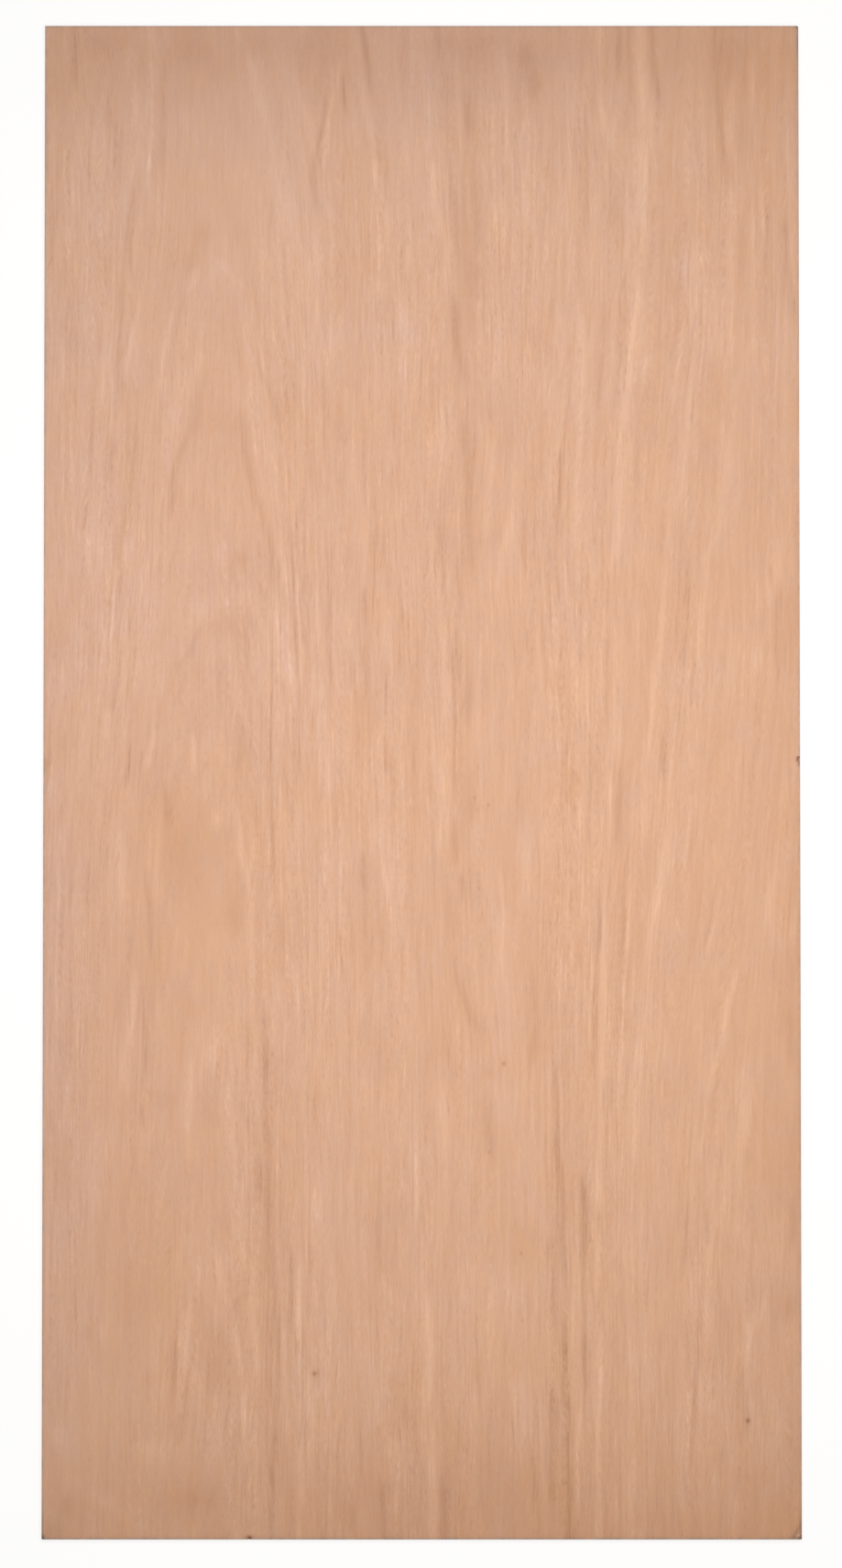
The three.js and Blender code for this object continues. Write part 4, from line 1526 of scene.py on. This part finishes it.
def edge_material():
    n = Nodes("sawn_edge")
    run, is_end, _ = n.split(n.attribute("edge").outputs["Vector"])
    core = (T - 2 * FACE_PLY) / CORE_PLIES
    wave = n.add(
        n.mul(n.noise(run, n.z, cell=(160, 9), seed=21), 0.22),
        n.mul(n.noise(run, n.z, cell=(30, 5), seed=22), 0.10),
    )
    z = n.add(n.z, wave)
    ply = n.math("DIVIDE", n.math("SUBTRACT", z, FACE_PLY), core)
    index = n.math("FLOOR", ply)
    part = n.math("FRACT", ply)
    odd = n.math("FLOORED_MODULO", index, 2.0)  # 0: grain across the sheet, 1: along it
    outer = n.math("MAXIMUM", n.math("LESS_THAN", ply, 0.0), n.math("GREATER_THAN", ply, float(CORE_PLIES)))
    along = n.math("MAXIMUM", odd, outer)
    # end grain shows where the ply runs into this edge
    end_grain = n.math("ABSOLUTE", n.math("SUBTRACT", along, n.math("SUBTRACT", 1.0, is_end)))
    fibre = n.noise(run, n.z, index, cell=(34, 0.32, 0.37), seed=23, detail=1.5)
    speck = n.noise(run, n.z, index, cell=(0.9, 0.55, 0.37), seed=24, detail=1.5)
    own = n.noise(index, run, cell=(0.37, 420), seed=25)
    long_level = n.add(0.90, n.mul(fibre, 0.13), n.mul(own, 0.10))
    end_level = n.add(0.60, n.mul(speck, 0.20), n.mul(own, 0.09))
    level = n.mix(end_grain, long_level, end_level)
    # glue lines, and a few short gaps in the cross plies: each gap is a dent in the bump and painted shade in the
    # colour, standing in for the shadow inside the void
    line = n.math("MINIMUM", part, n.math("SUBTRACT", 1.0, part))
    level = n.mul(level, n.ramp(line, 0.02, 0.11, 0.62, 1.0))
    gap_dent_and_shade = n.noise(run, index, cell=(46, 0.29), seed=26)
    gap_dent_and_shade = n.mul(n.ramp(gap_dent_and_shade, 0.78, 0.83), n.ramp(line, 0.12, 0.25), n.math("SUBTRACT", 1.0, outer))
    # painted shade: the colour is darkened where a core gap is, as if shadowed inside the void
    level = n.mul(level, n.math("MULTIPLY_ADD", gap_dent_and_shade, -0.55, 1.0))
    grime = n.noise(run, n.z, cell=(60, 12), seed=27, detail=2)
    level = n.math("MAXIMUM", n.mul(level, n.math("MULTIPLY_ADD", grime, 0.10, 0.97)), 0.05)
    saw = n.noise(run, n.z, cell=(1.4, 40), seed=28)
    rgb = tinted(n, level, n.mul(own, 0.05), (0.97, 0.93, 0.88))
    height = n.add(n.mul(speck, end_grain, 0.7), n.mul(fibre, 0.3), n.mul(saw, 0.35), n.mul(gap_dent_and_shade, -3.0))
    return n.finish(rgb, n.add(0.78, n.mul(end_grain, 0.08)), height, depth=0.00009)


def back_material():
    n = Nodes("back_veneer")
    v, _, _ = n.split(n.attribute("back_flow").outputs["Vector"])
    y = n.y
    g1 = n.noise(v, y, cell=(2.6, 28), seed=41)
    g2 = n.noise(v, y, cell=(5.6, 55), seed=42)
    g3 = n.noise(v, y, cell=(12, 110), seed=43)
    g4 = n.noise(v, y, cell=(28, 240), seed=44)
    g5 = n.noise(v, y, cell=(75, 520), seed=45)
    fibre = n.noise(v, y, cell=(1.3, 10), seed=46)
    pores = n.ramp(n.noise(v, y, cell=(1.8, 30), seed=47), 0.4, 0.8)
    level = n.add(
        0.95,
        n.mul(g1, 0.035),
        n.mul(g2, 0.045),
        n.mul(g3, 0.045),
        n.mul(g4, 0.045),
        n.mul(g5, 0.05),
        n.mul(fibre, 0.025),
        n.mul(pores, -0.05),
    )
    level = n.math("MAXIMUM", level, 0.15)
    shift = n.mul(n.noise(v, y, cell=(60, 400), seed=48), 0.02)
    rgb = tinted(n, level, shift, (0.98, 0.95, 0.93))
    height = n.add(n.mul(fibre, 0.3), n.mul(g1, 0.4), n.mul(pores, -0.5))
    return n.finish(rgb, n.add(0.66, n.mul(g3, 0.04)), height)


for material in (face_material(), edge_material(), back_material()):
    mesh.materials.append(material)

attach(sheet, "root")
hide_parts("plywood_sheet")

# ------------------------------------------------------------ floor and light

scene = bpy.context.scene
scene.view_settings.view_transform = "Standard"

floor_mesh = bpy.data.meshes.new("studio_floor")
h = 60.0
floor_mesh.from_pydata([(-h, -h, 0), (h, -h, 0), (h, h, 0), (-h, h, 0)], [], [(0, 1, 2, 3)])
floor = bpy.data.objects.new("studio_floor", floor_mesh)
floor.location.z = -0.0004
scene.collection.objects.link(floor)
floor_mat = bpy.data.materials.new("studio_floor_white")
floor_mat.use_nodes = True
b = floor_mat.node_tree.nodes["Principled BSDF"]
b.inputs["Base Color"].default_value = (0.16, 0.16, 0.16, 1)
b.inputs["Roughness"].default_value = 0.9
b.inputs["Specular IOR Level"].default_value = 0.0
b.inputs["Emission Color"].default_value = (1.0, 0.995, 0.99, 1)
b.inputs["Emission Strength"].default_value = 0.85
floor_mesh.materials.append(floor_mat)

key_data = bpy.data.lights.new("softbox", "AREA")
key_data.shape = "RECTANGLE"
key_data.size, key_data.size_y = 1.1, 1.1
key_data.energy = 83.0
key_data.color = (1.0, 0.985, 0.97)
key = bpy.data.objects.new("softbox", key_data)
key.location = (0.15, 0.10, 2.84)
scene.collection.objects.link(key)
key.visible_camera = False
key.visible_glossy = False

world = bpy.data.worlds.new("studio")
world.use_nodes = True
wt = world.node_tree
wt.nodes.clear()
fill = wt.nodes.new("ShaderNodeBackground")
fill.inputs["Color"].default_value = (0.98, 0.99, 1.0, 1)
fill.inputs["Strength"].default_value = 0.185
seen = wt.nodes.new("ShaderNodeBackground")
seen.inputs["Color"].default_value = (0.8755, 0.8735, 0.870, 1)
seen.inputs["Strength"].default_value = 1.0
path = wt.nodes.new("ShaderNodeLightPath")
pick = wt.nodes.new("ShaderNodeMixShader")
wout = wt.nodes.new("ShaderNodeOutputWorld")
wt.links.new(path.outputs["Is Camera Ray"], pick.inputs["Fac"])
wt.links.new(fill.outputs[0], pick.inputs[1])
wt.links.new(seen.outputs[0], pick.inputs[2])
wt.links.new(pick.outputs[0], wout.inputs["Surface"])
scene.world = world

# -------------------------------------------------------------------- camera
# Straight above the sheet, with its length up the frame.

CAM_H = 4.4
cam_data = bpy.data.cameras.new("overhead")
cam_data.sensor_width = 36.0
cam_data.sensor_fit = "AUTO"
view_mm = 2527.0  # what the tall side of the frame takes in, at the face
cam_data.lens = 36.0 * (CAM_H * 1000) / view_mm
cam_data.clip_start, cam_data.clip_end = 0.05, 200.0
cam = bpy.data.objects.new("overhead", cam_data)
tilt = math.radians(1.0)
aim = Vector((-0.0011, -0.0080, T * MM))
cam.location = aim + Vector((0, -math.sin(tilt), math.cos(tilt))) * CAM_H
cam.rotation_euler = (tilt, 0, 0)
scene.collection.objects.link(cam)
scene.camera = cam
